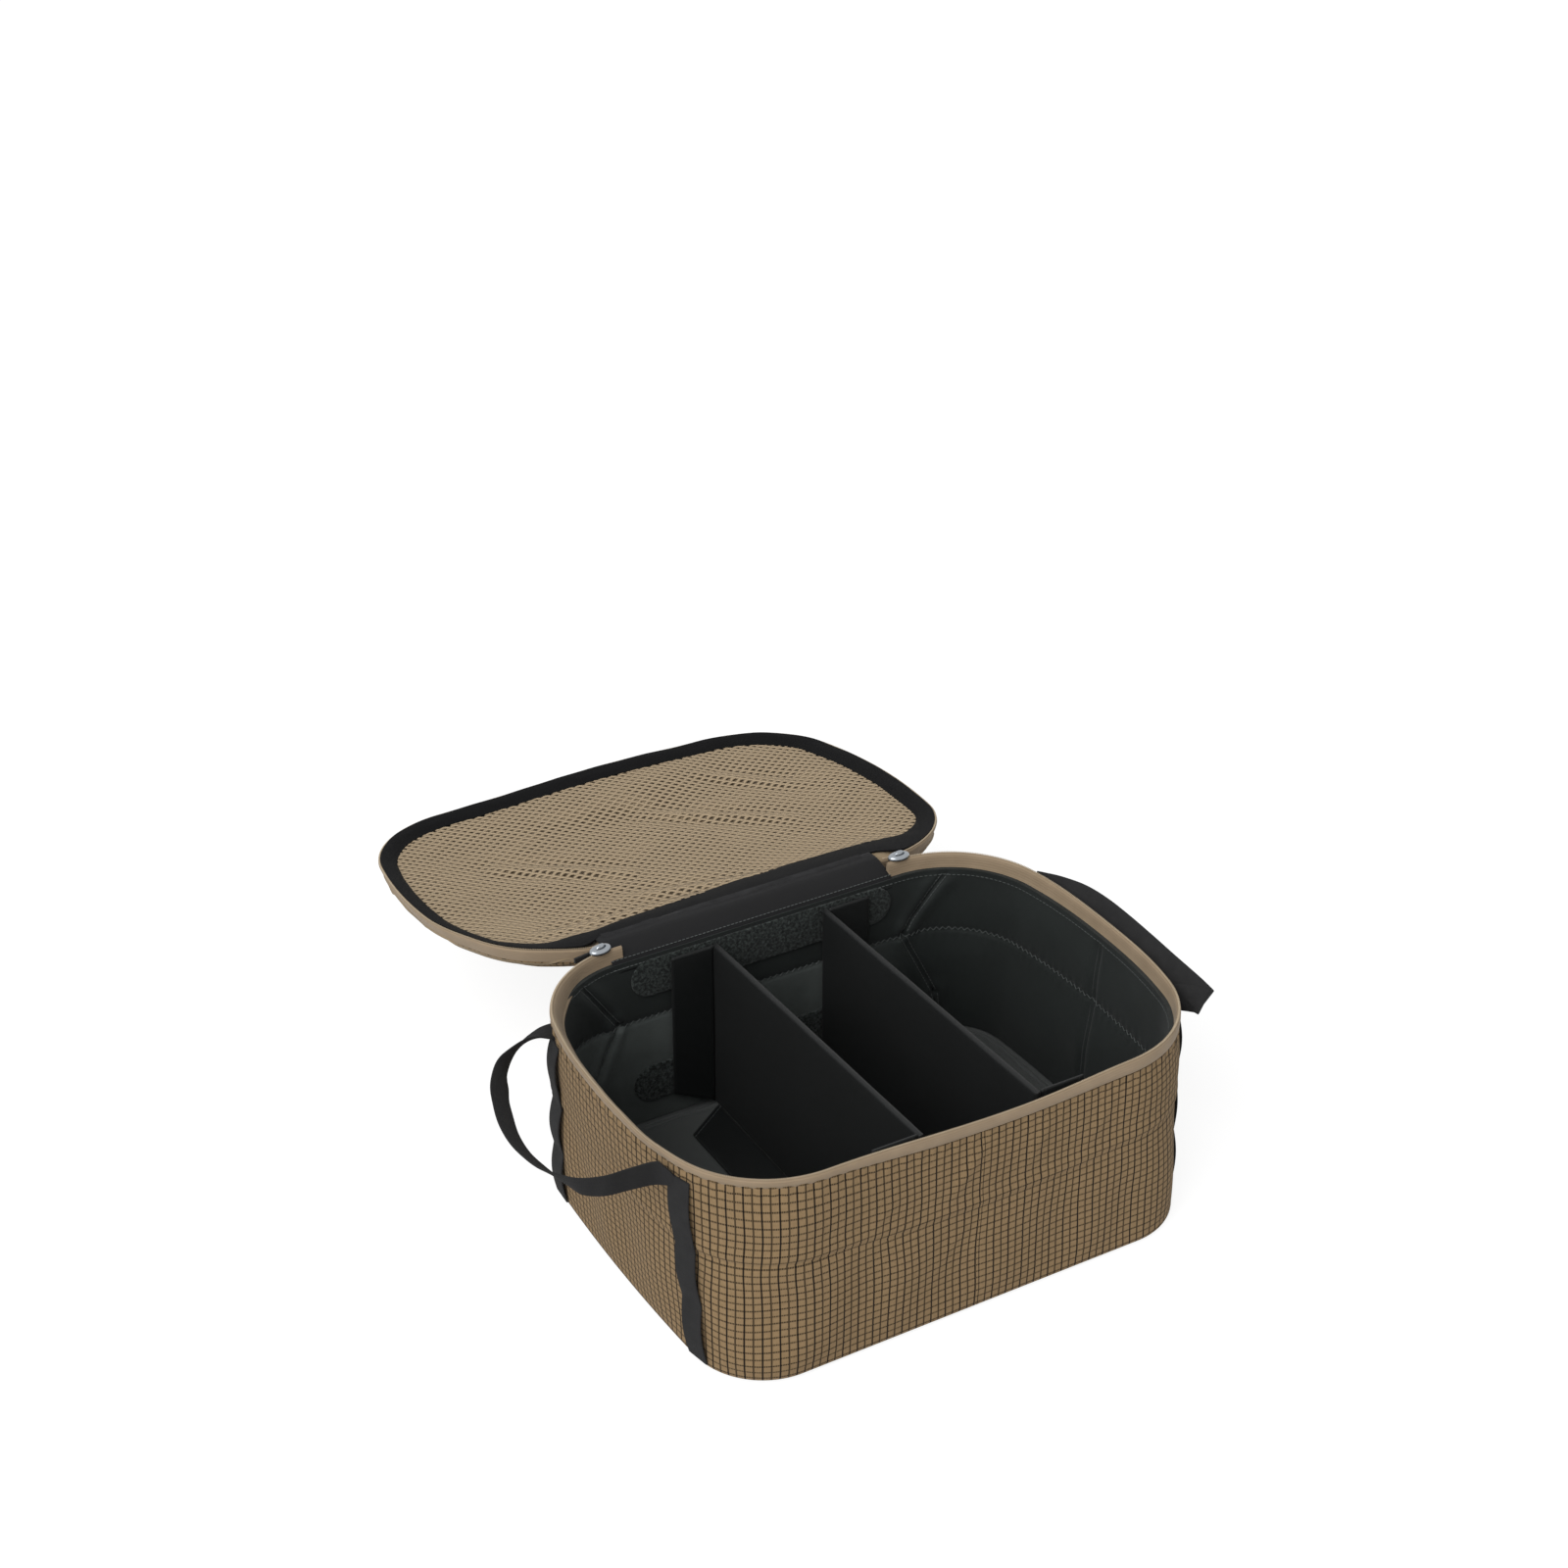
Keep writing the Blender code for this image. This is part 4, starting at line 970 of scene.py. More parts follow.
loop_pile = loop_pile_material("nylon_loop_pile", "#444a48", "#0f1211")
strip_thickness = 0.0016
strip_edge = 0.0007
strip_end_steps = 14
for node_name in ("loop_strip_back_lower", "loop_strip_back_upper", "loop_strip_front_lower",
                  "loop_strip_front_upper"):
    low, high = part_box(node_name)
    half_height = (high[2] - low[2]) / 2
    middle = (high[2] + low[2]) / 2
    straight = high[0] - half_height
    sign = 1 if high[1] > 0 else -1
    wall_y = high[1] if sign > 0 else low[1]
    stadium = []
    for first, last, end_x in ((-0.5, 0.5, straight), (0.5, 1.5, -straight)):
        for share in evenly(first, last, strip_end_steps):
            at = share * math.pi
            stadium.append((end_x + half_height * math.cos(at), middle + half_height * math.sin(at)))
    mesh = rounded_plate(node_name.replace("loop_strip", "pile_strip"), stadium, strip_thickness, strip_edge,
                         lambda a, b, level: Vector((a, wall_y - sign * level, b)))
    add_piece(mesh.name, mesh, loop_pile, "body", [node_name])


# Zip tape on the body: tan woven nylon tape, folded over the rim as a smooth round band, with the coil on
# its edge.
def tape_material(name, light, dark):
    """Herringbone nylon zip tape: smooth, slightly glossy, with fine grooves that run along it."""
    made = empty_material(name)
    tree = made.node_tree
    flat = cloth_place(tree)
    places = add_node(tree, "ShaderNodeSeparateXYZ", {0: flat}).outputs
    groove_pitch = 0.0021
    groove_width = 0.0005
    twill_pitch = 0.0005
    groove = line_mask(tree, places["Y"], groove_pitch, groove_width)
    twill_map = add_node(tree, "ShaderNodeMapping",
                         {"Vector": flat, "Rotation": (0, 0, math.radians(45))}).outputs[0]
    twill = weave_height(tree, twill_map, twill_pitch)
    patches = speckle(tree, flat, 60, 3)
    colour = blended(tree, patches, linear(dark), linear(light))
    # Painted shade: the grooves are drawn a little darker, as the shade in them.
    colour = blended(tree, product(tree, groove, 0.18), colour, linear("#5c4e3a"))
    relief = maths(tree, "ADD", product(tree, twill, 0.25), product(tree, groove, -1.0))
    bump = bumped(tree, relief, 0.6, 0.00015)
    finish_surface(tree, {"Base Color": colour, "Roughness": 0.72, "Specular IOR Level": 0.3,
                          "Sheen Weight": 0.08, "Normal": bump})
    return made


tape_cloth = tape_material("woven_nylon_zip_tape", "#9c8971", "#86745d")
tape_step = 0.0024
rim_quarter = quarter_length(rim_height)
zip_start = 2 - hinge_left_x / rim_quarter
zip_end = 6 - hinge_right_x / rim_quarter
zip_turns = evenly(zip_start, zip_end, round((zip_end - zip_start) * rim_quarter / tape_step))
body_tape_section = (
    (-0.0001, 0.1529, 0, 1), (-0.0007, 0.1536, 0, 1), (-0.0010, 0.1572, 0, 0.7), (-0.0009, 0.1612, 0, 0.1),
    (-0.0003, 0.1630, 0, 0), (0.0008, 0.1637, 0, 0), (0.0018, 0.1630, 0.1, 0), (0.0025, 0.1608, 0.3, 0),
    (0.0029, 0.1570, 0.7, 0), (0.0034, 0.1524, 1, 0), (0.0040, 0.1502, 1, 0), (0.0048, 0.1493, 1, 0),
    (0.0046, 0.1508, 0.9, 0), (0.0022, 0.1518, 0, 0),
)
tape_roll_reach = 0.0042
tape_end_overlap = 0.0090
tape_stations = []
for turn in evenly(zip_start - tape_end_overlap / rim_quarter, zip_start, 5)[:-1] + zip_turns:
    roll = rim_roll(turn)
    tape_stations.append([wall_point(turn, level + lifted * seam_rise(turn),
                                     inset + spread * tape_roll_reach * roll)
                          for inset, level, spread, lifted in body_tape_section])
body_tape_mesh = swept_mesh("body_tape", tape_stations)
add_piece("body_tape", body_tape_mesh, tape_cloth, "body", ["body_zipper_tape"])


# Zip coil: nylon teeth wound on the edge of the body's tape, 1.25 mm apart. The lid's coil is made the same
# way.
def coil_material(name, colour):
    """Moulded nylon monofilament: smooth with a soft shine."""
    made = empty_material(name)
    tree = made.node_tree
    place = object_place(tree)
    speck = speckle(tree, place, 500, 2)
    tint = blended(tree, product(tree, speck, 0.3), linear(colour), linear("#6d5d47"))
    finish_surface(tree, {"Base Color": tint, "Roughness": 0.42})
    return made


def tooth_tree():
    """Short round teeth across a path at an even pitch."""
    tree, given = new_tree("zip_teeth", ("Pitch", "Length", "Radius"), "Nylon")
    path = add_node(tree, "GeometryNodeMeshToCurve", {0: given["Geometry"]}).outputs[0]
    steps = add_node(tree, "GeometryNodeResampleCurve", {"Curve": path, "Length": given["Pitch"]},
                     mode="LENGTH")
    tangent = add_node(tree, "GeometryNodeInputTangent").outputs[0]
    turned = add_node(tree, "FunctionNodeAlignRotationToVector", {"Vector": tangent}, axis="X").outputs[0]
    tooth = add_node(tree, "GeometryNodeMeshUVSphere", {"Segments": 6, "Rings": 4, "Radius": 1}).outputs[0]
    size = add_node(tree, "ShaderNodeCombineXYZ", {0: given["Radius"], 1: given["Length"],
                                                   2: given["Radius"]})
    shaped = add_node(tree, "GeometryNodeTransform", {"Geometry": tooth, "Scale": size.outputs[0]}).outputs[0]
    smooth = add_node(tree, "GeometryNodeSetShadeSmooth", {"Geometry": shaped}).outputs[0]
    placed = add_node(tree, "GeometryNodeInstanceOnPoints",
                      {"Points": steps.outputs[0], "Instance": smooth, "Rotation": turned}).outputs[0]
    return end_tree(tree, placed, given["Nylon"])


coil_nylon = coil_material("moulded_coil_nylon", "#b3a288")
zip_teeth = tooth_tree()
tooth_sizes = {"Pitch": 0.00125, "Length": 0.0011, "Radius": 0.00042}
coil_inset = 0.0005
coil_height = 0.1638
coil_path = [wall_point(turn, coil_height, coil_inset) for turn in zip_turns[2:-2]]
grow("body_coil", path_mesh("body_coil_path", [coil_path]), zip_teeth, tooth_sizes, coil_nylon, "body",
     ["body_zipper_coil"])


# Lid: the same grid cloth cut on the bias over thin padding, drawn closed on the rim and then laid open.
hinge_y = 0.1549
hinge_z = 0.1606
open_turn = math.radians(187.7)
hinge_point = Vector((0, hinge_y, hinge_z))
opened = (Matrix.Translation(hinge_point) @ Matrix.Rotation(-open_turn, 4,
                                                            "X") @ Matrix.Translation(-hinge_point))
lid_wall_height = 0.1775
lid_edge_centre = 0.1783
lid_edge_reach = 0.0180
lid_edge_rise = 0.0065
lid_edge_top = lid_edge_centre + lid_edge_rise
lid_corner_pull = 0.0062
lid_hinge_lift = 0.0048
lid_far_lift = 0.0026
lid_far_sag = 0.0032
lid_side_lift = 0.0030
lid_side_tuck = 0.0060
lid_corner_tuck = 0.0070
lid_lift_top = 0.1740
lid_roll_heights = (0.1765, 0.1830)
lid_dome = 0.0032
lid_columns = 420
lid_cloth_thickness = 0.0012


def lid_place(x, y, height):
    """Where a place on the closed lid lies when it is open; it curls up at the hinge, its left corner drawn
    in."""
    near = soft_step(y, 0.045, 0.135)
    pull = lid_corner_pull * soft_step(y, 0.020, 0.100) * soft_step(-x, 0.110, 0.170)
    far = soft_step(-y, 0.050, 0.120)
    side = soft_step(abs(x), 0.130, 0.180) * (1 - far) * (1 - near)
    lift = lid_hinge_lift * near + lid_far_lift * far + lid_side_lift * side
    lift += lid_far_sag * far * hump(x, -0.118, 0.025, 0.140)
    lift *= 1 - soft_step(height, lid_lift_top, lid_edge_top)
    rolled = soft_step(height, *lid_roll_heights)
    tuck_x = math.copysign(lid_side_tuck * rolled, x) * soft_step(abs(x), 0.110, 0.190) * soft_step(y,
                                                                                                    -0.080, 0)
    tuck_y = lid_corner_tuck * rolled * soft_step(y, 0.060, 0.140) * soft_step(abs(x), 0.080, 0.140)
    return opened @ Vector((x + pull - tuck_x, y - pull - tuck_y, height - lift))


def lid_point(turn, inset, height):
    """Point of the lid, given as it lies when closed, where the lid lies when open."""
    x, y = ring_place(turn, rim_height, inset)[:2]
    return lid_place(x, y, height)


def lid_disc(levels, columns, relief, crown_steps):
    """Rings of a lid panel from its edge inwards, each given as inset and closed height, then in to the
    middle."""
    plan = []
    for inset, height in levels:
        plan.append([(*ring_place(4 * i / columns, rim_height, inset)[:2], height) for i in range(columns)])
    last = plan[-1]
    for share in evenly(1, 0, crown_steps)[1:]:
        plan.append([(x * share, y * share, height) for x, y, height in last])
    rows = [[lid_place(x, y, height + relief(x, y, height)) for x, y, height in ring] for ring in plan]
    flat_rows = []
    for ring in plan:
        spread = [1 + abs(last[0][2] - height) / max(math.hypot(x, y), 0.05) for x, y, height in ring]
        row = [(x * more, y * more) for (x, y, height), more in zip(ring, spread)]
        flat_rows.append(row + row[:1])
    return rows, flat_rows


def middle_share(x, y):
    """Nought at the lid's edge, one over most of it."""
    edge = max(abs(x) / rim_half_length, abs(y) / rim_half_width)
    return math.sin(min(1, (1 - edge) * 1.6) * math.pi / 2) if edge < 1 else 0


lid_wave = 0.0010


def lid_outer_relief(x, y, height):
    """How far the lid's cloth stands above its plain height when closed."""
    rise = lid_dome * middle_share(x, y)
    return rise + lid_wave * noise.noise(Vector((x / 0.06, y / 0.06, 31.0))) * soft_step(height, 0.180,
                                                                                         0.1845)


lid_edge_lean = 0.0044
lid_levels = [(lid_edge_lean + 0.0002, lid_wall_height - 0.0006), (lid_edge_lean, lid_wall_height),
              (lid_edge_lean, lid_edge_centre)]
for share in evenly(0, 1, 10)[1:]:
    at = share * math.pi / 2
    lid_levels.append((lid_edge_lean + lid_edge_reach * (1 - math.cos(at)),
                       lid_edge_centre + lid_edge_rise * math.sin(at)))
lid_levels += [(inset, lid_edge_top) for inset in evenly(lid_edge_lean + lid_edge_reach, 0.062, 12)[1:]]
lid_rows, lid_flat = lid_disc(lid_levels, lid_columns, lid_outer_relief, 24)
lid_outer_mesh = cloth_mesh("lid_outer_cloth", lid_rows, lid_flat, ring=True)
bias_cloth = grid_cloth_material("woven_grid_polyester_on_bias", math.radians(45))
lid_outer = add_piece("lid_outer_cloth", lid_outer_mesh, bias_cloth, "lid", ["lid_panel"],
                      lid_cloth_thickness)


# Lid lining: the tan back of the lid's cloth, loose enough to lie in soft folds against the net.
lid_folds = (
    ((-0.150, 0.095), (-0.020, 0.112), 0.0026),
    ((-0.060, 0.070), (0.060, 0.118), 0.0018),
    ((0.020, -0.060), (0.110, 0.020), 0.0016),
    ((-0.120, -0.040), (-0.040, 0.030), 0.0016),
    ((0.090, -0.100), (0.150, -0.030), 0.0015),
)
net_level = 0.1722
net_hinge_rise = 0.0055


def hinge_side_share(x, y):
    """One along the hinge, where net and binding lie close to the rim plane, nought elsewhere."""
    return soft_step(y, 0.085, 0.128) * soft_step(-abs(x), -0.165, -0.120)


def lid_sag(x, y):
    """How far the net lies behind or before its plain level."""
    inside = middle_share(x, y)
    sag = 0.0012 * inside * noise.noise(Vector((x / 0.055, y / 0.040,
                                                12.0))) - net_hinge_rise * hinge_side_share(x, y)
    for start, end, depth in lid_folds:
        away, share = segment_distance(x, y, start, end)
        along = math.sin((0.15 + 0.7 * share) * math.pi)
        sag -= depth * inside * math.exp(-(away / 0.007) ** 2) * along
        sag += depth * inside * 0.8 * math.exp(-((away - 0.012) / 0.008) ** 2) * along
    return sag


def lining_gap(x, y):
    """Distance from net to lining, which touch in patches and stand apart between them."""
    return 0.0007 + 0.0030 * soft_step(noise.noise(Vector((x / 0.042, y / 0.028, 45.0))), -0.25, 0.20)


lining_levels_closed = [(0.0025, net_level + 0.004)]
lining_levels_closed += [(inset, net_level) for inset in evenly(0.006, 0.066, 24)]
lid_lining_rows, lid_lining_flat = lid_disc(lining_levels_closed, lid_columns,
                                            lambda x, y, height: lid_sag(x, y) + lining_gap(x, y), 28)
lid_lining_rows = [list(reversed(row)) for row in lid_lining_rows]
lid_lining_flat = [list(reversed(row)) for row in lid_lining_flat]
lid_lining_mesh = cloth_mesh("lid_lining", lid_lining_rows, lid_lining_flat, ring=True)
lid_back_cloth = plain_cloth_material("tan_polyester_back", "#a08d72", "#84735a", 0.0005, 0.85, 0.1, 0.25)
lid_lining = add_piece("lid_lining", lid_lining_mesh, lid_back_cloth, "lid", (), 0.0006)


# Net: tan polyester knitted in waved rows about 4 mm apart, whose crests meet and leave small openings
# between them. It is sewn under the binding.
def band_tree():
    """Flat bands along loose edges, lying level."""
    tree, given = new_tree("bands", ("Half width", "Flatness"), "Yarn")
    path = add_node(tree, "GeometryNodeMeshToCurve", {0: given["Geometry"]}).outputs[0]
    level = add_node(tree, "GeometryNodeSetCurveNormal", {"Curve": path}, mode="Z_UP")
    ring = add_node(tree, "GeometryNodeCurvePrimitiveCircle",
                    {"Resolution": 4, "Radius": given["Half width"]}).outputs[0]
    size = add_node(tree, "ShaderNodeCombineXYZ", {0: 1.0, 1: given["Flatness"], 2: 1.0}).outputs[0]
    flat_ring = add_node(tree, "GeometryNodeTransform", {"Geometry": ring, "Scale": size}).outputs[0]
    band = add_node(tree, "GeometryNodeCurveToMesh",
                    {"Curve": level.outputs[0], "Profile Curve": flat_ring, "Fill Caps": True})
    smooth = add_node(tree, "GeometryNodeSetShadeSmooth", {"Geometry": band.outputs[0]}).outputs[0]
    return end_tree(tree, smooth, given["Yarn"])


def table_value(table, place):
    """Value between the rows of a table of places and values."""
    for (first, first_value), (second, second_value) in zip(table, table[1:]):
        if place < second:
            return first_value + (second_value - first_value) * max(place - first, 0) / (second - first)
    return table[-1][1]


binding_outer = 0.0016
binding_inner = 0.0142
hinge_binding_outer = 0.0145
hinge_binding_inner = ((-0.200, 0.0150), (-0.175, 0.0210), (-0.150, 0.0260), (-0.113, 0.0285),
                       (-0.074, 0.0340),
                       (-0.037, 0.0380), (0, 0.0420), (0.031, 0.0445), (0.061, 0.0440), (0.095, 0.0420),
                       (0.128, 0.0390),
                       (0.155, 0.0340), (0.185, 0.0200), (0.200, 0.0142))


def binding_insets(turn):
    """Outer and inner edge of the binding."""
    x, y, out_x, out_y = ring_place(turn, rim_height)
    near = soft_step(y, 0.055, 0.125)
    covered = near * soft_step(-abs(x), -0.140, -0.112)
    wander = 0.0008 * noise.noise(Vector((x / 0.03, y / 0.03, 2.0)))
    outer = binding_outer + (hinge_binding_outer - binding_outer) * covered
    inner = binding_inner + (table_value(hinge_binding_inner, x) - binding_inner) * near
    return outer + wander * 0.4, inner + wander


net_columns = 420
net_inner_outline = []
for i in range(net_columns):
    turn = 4 * i / net_columns
    inner = binding_insets(turn)[1] - 0.0030
    net_inner_outline.append(ring_place(turn, rim_height, inner)[:2])


def inside_outline(x, y, outline):
    """Whether a place lies inside a closed outline."""
    found = False
    for i, (ax, ay) in enumerate(outline):
        bx, by = outline[i - 1]
        if (ay > y) != (by > y) and x < (bx - ax) * (y - ay) / (by - ay) + ax:
            found = not found
    return found


mesh_width = 0.0085
mesh_row_step = 0.0042
net_wave = 0.0015
net_points_per_wave = 7
net_band_half_width = 0.0017
net_band_flatness = 0.22
net_turn = math.radians(8)
net_paths = []
net_reach = 0.26
row_count = round(net_reach / mesh_row_step)
point_count = round(net_reach * net_points_per_wave / mesh_width)
coarse_outline = net_inner_outline[::4]
for j in range(-row_count, row_count + 1):
    path = []
    for i in range(-point_count, point_count + 1):
        along = i * mesh_width / net_points_per_wave
        phase = along / mesh_width + 0.5 * (j % 2)
        across = j * mesh_row_step - net_wave * (2 * abs(math.cos(phase * math.pi)) - 1)
        across += 0.0008 * noise.noise(Vector((along / 0.05, j * mesh_row_step / 0.05, 17.0)))
        x = along * math.cos(net_turn) - across * math.sin(net_turn)
        y = along * math.sin(net_turn) + across * math.cos(net_turn)
        if abs(x) < rim_half_length and abs(y) < rim_half_width and inside_outline(x, y, coarse_outline):
            path.append(lid_place(x, y, net_level + lid_sag(x, y)))
        elif path:
            if len(path) > 1:
                net_paths.append(path)
            path = []
    if len(path) > 1:
        net_paths.append(path)
net_yarn = yarn_material("knitted_net_yarn", "#b3a084", "#95836a")
lid_net = grow("lid_net", path_mesh("lid_net_paths", net_paths), band_tree(),
               {"Half width": net_band_half_width, "Flatness": net_band_flatness}, net_yarn, "lid",
               ["lid_mesh"])


# Binding: a folded black tape over the raw edges of net and lining. It slopes from the rim down to the net,
# and along the hinge it lies flat on the charcoal panel, with a frayed strip of the panel's edge beside it.
def twill_material(name, light, dark, pitch, roughness=0.8, turn=30):
    """Black polyester binding tape: matt fine ribs along it, faintly patchy in colour."""
    made = empty_material(name)
    tree = made.node_tree
    flat = cloth_place(tree)
    rib_turn = (0, 0, math.radians(turn))
    turned = add_node(tree, "ShaderNodeMapping", {"Vector": flat, "Rotation": rib_turn}).outputs[0]
    rib = weave_height(tree, turned, pitch)
    patches = speckle(tree, flat, 70, 4)
    colour = blended(tree, patches, linear(dark), linear(light))
    bump = bumped(tree, rib, 0.7, 0.0002)
    finish_surface(tree, {"Base Color": colour, "Roughness": roughness, "Specular IOR Level": 0.12,
                          "Normal": bump})
    return made


binding_tape = twill_material("black_twill_binding", "#0d0d0e", "#060607", 0.0007)
binding_outer_level = 0.1660
binding_fall = 0.0056
binding_hinge_level = 0.1649
binding_hinge_fall = 0.0013
binding_thickness = 0.0012
binding_steps = 8
binding_crown = 0.0008
binding_wave = 0.0005


def binding_level(x, y, share):
    """Closed height of the binding's seen face; share is nought at the rim and one at the net."""
    near = hinge_side_share(x, y)
    outer_level = binding_outer_level + (binding_hinge_level - binding_outer_level) * near
    return outer_level + (binding_fall + (binding_hinge_fall - binding_fall) * near) * share


binding_stations = []
for i in range(net_columns):
    turn = 4 * i / net_columns
    outer, inner = binding_insets(turn)
    x, y = ring_place(turn, rim_height, inner)[:2]
    ring = []
    for share in evenly(0, 1, binding_steps):
        crown = binding_crown * math.sin(share * math.pi) + binding_wave * noise.noise(Vector((turn * 12,
                                                                                               share * 2,
                                                                                               6.0)))
        ring.append(lid_point(turn, outer + (inner - outer) * share, binding_level(x, y, share) - crown))
    for share in evenly(1, 0, 2):
        ring.append(lid_point(turn, outer + (inner - outer) * share,
                              binding_level(x, y, share) + binding_thickness))
    binding_stations.append(ring)
binding_mesh = swept_mesh("lid_edge_binding", binding_stations, closed=True)
add_piece("lid_edge_binding", binding_mesh, binding_tape, "lid", ["lid_binding"])

frayed_tape = twill_material("frayed_black_panel_edge", "#3a3a3b", "#141415", 0.0013, 0.9, 0)
strip_width = 0.0056
strip_under = 0.0010
strip_columns = 180
strip_stations = []
for x in evenly(hinge_left_x + 0.006, 0.1020, strip_columns):
    outer = hinge_binding_outer
    rough = 0.0005 * noise.noise(Vector((x / 0.002, 0, 71.0)))
    low_edge = rim_half_width - (outer + strip_under)
    high_edge = rim_half_width - (outer - strip_width + rough)
    strip_stations.append([lid_place(x, y, z) for y, z in (
        (low_edge, 0.1658), (low_edge, 0.1651), (high_edge - 0.0006, 0.1650 + 0.4 * rough),
        (high_edge, 0.1656))])
strip_mesh = swept_mesh("lid_panel_edge_strip", strip_stations)
add_piece("lid_panel_edge_strip", strip_mesh, frayed_tape, "lid")


# Lid zip tape and coil, the mirror of the body's.
lid_tape_section = (
    (0.0043, 0.1776), (0.0037, 0.1764), (0.0022, 0.1735), (0.0006, 0.1700), (0.0000, 0.1682),
    (0.0006, 0.1672),
    (0.0014, 0.1679), (0.0026, 0.1700), (0.0062, 0.1776),
)
lid_tape_mesh = swept_mesh("lid_tape", [[lid_point(turn, inset, level) for inset, level in lid_tape_section]
                                        for turn in zip_turns])
add_piece("lid_tape", lid_tape_mesh, tape_cloth, "lid", ["lid_zipper_tape"])
lid_coil_height = 0.1668
lid_coil_path = [lid_point(turn, coil_inset + 0.0006, lid_coil_height) for turn in zip_turns[2:-2]]
grow("lid_coil", path_mesh("lid_coil_path", [lid_coil_path]), zip_teeth, tooth_sizes, coil_nylon, "lid",
     ["lid_zipper_coil"])


# Hinge panel: one piece of charcoal cloth sewn to the back wall with a double seam, which bends over the
# hinge line and runs on into the lid, where a rough black strip and the binding cover its edge.
panel_cloth = plain_cloth_material("charcoal_hinge_cloth", "#1e1e1f", "#151516", 0.0004, 0.72, 0.02, 0.12)
hinge_columns = 120
hinge_end_overlap = 0.0006
hinge_thickness = 0.0007
lid_turn_y = 0.1480
lid_plane = 0.1654
hinge_profile = ((0.1421, 0.1445), (0.1423, 0.1500), (0.1430, 0.1529), (0.1455, 0.1544), (0.1485, 0.1556),
                 (0.1515, 0.1566), (hinge_y, 0.1576), (0.1580, 0.1584), (0.1608, 0.1590))


def hinge_point_at(x, row):
    """Point of the hinge cloth; the last rows run along the lid to the edge of the frayed strip."""
    if row < len(hinge_profile):
        return Vector((x, *hinge_profile[row]))
    share = (row - len(hinge_profile) + 1) / lid_run_steps
    y = lid_turn_y + (rim_half_width - hinge_binding_outer - lid_turn_y) * share
    return lid_place(x, y, lid_plane)


lid_run_steps = 6
hinge_row_count = len(hinge_profile) + lid_run_steps
hinge_xs = evenly(hinge_left_x - hinge_end_overlap, hinge_right_x + hinge_end_overlap, hinge_columns)
hinge_points = []
for row in range(hinge_row_count):
    line = []
    for x in hinge_xs:
        point = hinge_point_at(x, row)
        wave = 0.0005 * noise.noise(Vector((x / 0.04, row / 5, 9.0)))
        line.append(point + Vector((0, 0, wave)))
    hinge_points.append(line)
hinge_flat = []
run = 0
for row, line in enumerate(hinge_points):
    if row:
        run += (line[0] - hinge_points[row - 1][0]).length
    hinge_flat.append([(x, run) for x in hinge_xs])
hinge_mesh = cloth_mesh("hinge_cloth", hinge_points, hinge_flat)
hinge_cloth = add_piece("hinge_cloth", hinge_mesh, panel_cloth, None,
                        ["hinge_panel", "lid_hinge_facing"], hinge_thickness)
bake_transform(hinge_cloth)
hinge_stitch_paths = []
hinge_stitch_rows = ((0.1419, 0.1480), (0.1445, 0.1546))
hinge_stitch_radius = 0.00042
hinge_stitch = 0.0022
hinge_stitch_gap = 0.0012
for y, z in hinge_stitch_rows:
    hinge_stitch_paths += stitch_line([Vector((x, y, z)) for x in hinge_xs], hinge_stitch, hinge_stitch_gap)
grow("hinge_stitches", path_mesh("hinge_stitch_paths", hinge_stitch_paths), threads,
     {"Radius": hinge_stitch_radius},
     charcoal_thread, "body")


# Straps: charcoal webbing down the wall near each corner, tacked at the top, twice on the way and at the
# base, and left slack between the tacks so that it makes three loops.
def webbing_material(name, light, dark, rib):
    """Ribbed polyester webbing: dull, with cross ribs under a millimetre apart."""
    made = empty_material(name)
    tree = made.node_tree
    flat = cloth_place(tree)
    places = add_node(tree, "ShaderNodeSeparateXYZ", {0: flat}).outputs
    ribs = line_mask(tree, places["X"], rib, rib * 0.9)
    yarns = line_mask(tree, places["Y"], rib * 0.8, rib * 0.4)
    patches = speckle(tree, flat, 90, 3)
    colour = blended(tree, patches, linear(dark), linear(light))
    # Painted shade: the colour is drawn towards near black, most between the ribs, as the shade in the
    # grooves; on the ribs it keeps more of the cloth's own colour.
    colour = blended(tree, product(tree, ribs, 0.45), linear("#18181a"), colour)
    colour = blended(tree, add_node(tree, "ShaderNodeMapRange", {"Value": ribs, "To Min": 0.35,
                                                                 "To Max": 1}).outputs[0],
                     linear(dark), colour)
    relief = maths(tree, "ADD", ribs, product(tree, yarns, 0.3))
    bump = bumped(tree, relief, 0.7, 0.0003)
    finish_surface(tree, {"Base Color": colour, "Roughness": 0.85, "Specular IOR Level": 0.1, "Normal": bump})
    return made


webbing = webbing_material("ribbed_polyester_webbing", "#484848", "#323232", 0.00085)
webbing_half_width = 0.0095
webbing_half_thickness = 0.0007
webbing_edge_shares = ((-1, 0.0), (-0.97, 0.8), (-0.85, 1), (-0.3, 1), (0.3, 1), (0.85, 1), (0.97, 0.8),
                       (1, 0.0),
                       (0.97, -0.8), (0.85, -1), (0.3, -1), (-0.3, -1), (-0.85, -1), (-0.97, -0.8))


def webbing_mesh(name, stations):
    """Flat webbing swept along stations of centre, direction across it, direction through it and share
    kept."""
    rings = []
    for centre, across, through, kept in stations:
        rings.append([centre + across * webbing_half_width * ((wide + 1) * kept - 1)
                      + through * webbing_half_thickness * deep for wide, deep in webbing_edge_shares])
    return swept_mesh(name, rings)


strap_top = 0.1500
strap_tacks = (strap_top, 0.1000, 0.0525, 0.0060)
strap_bulge = 0.0028
strap_steps = 20
front_strap_share = 0.080
rear_strap_share = 0.980


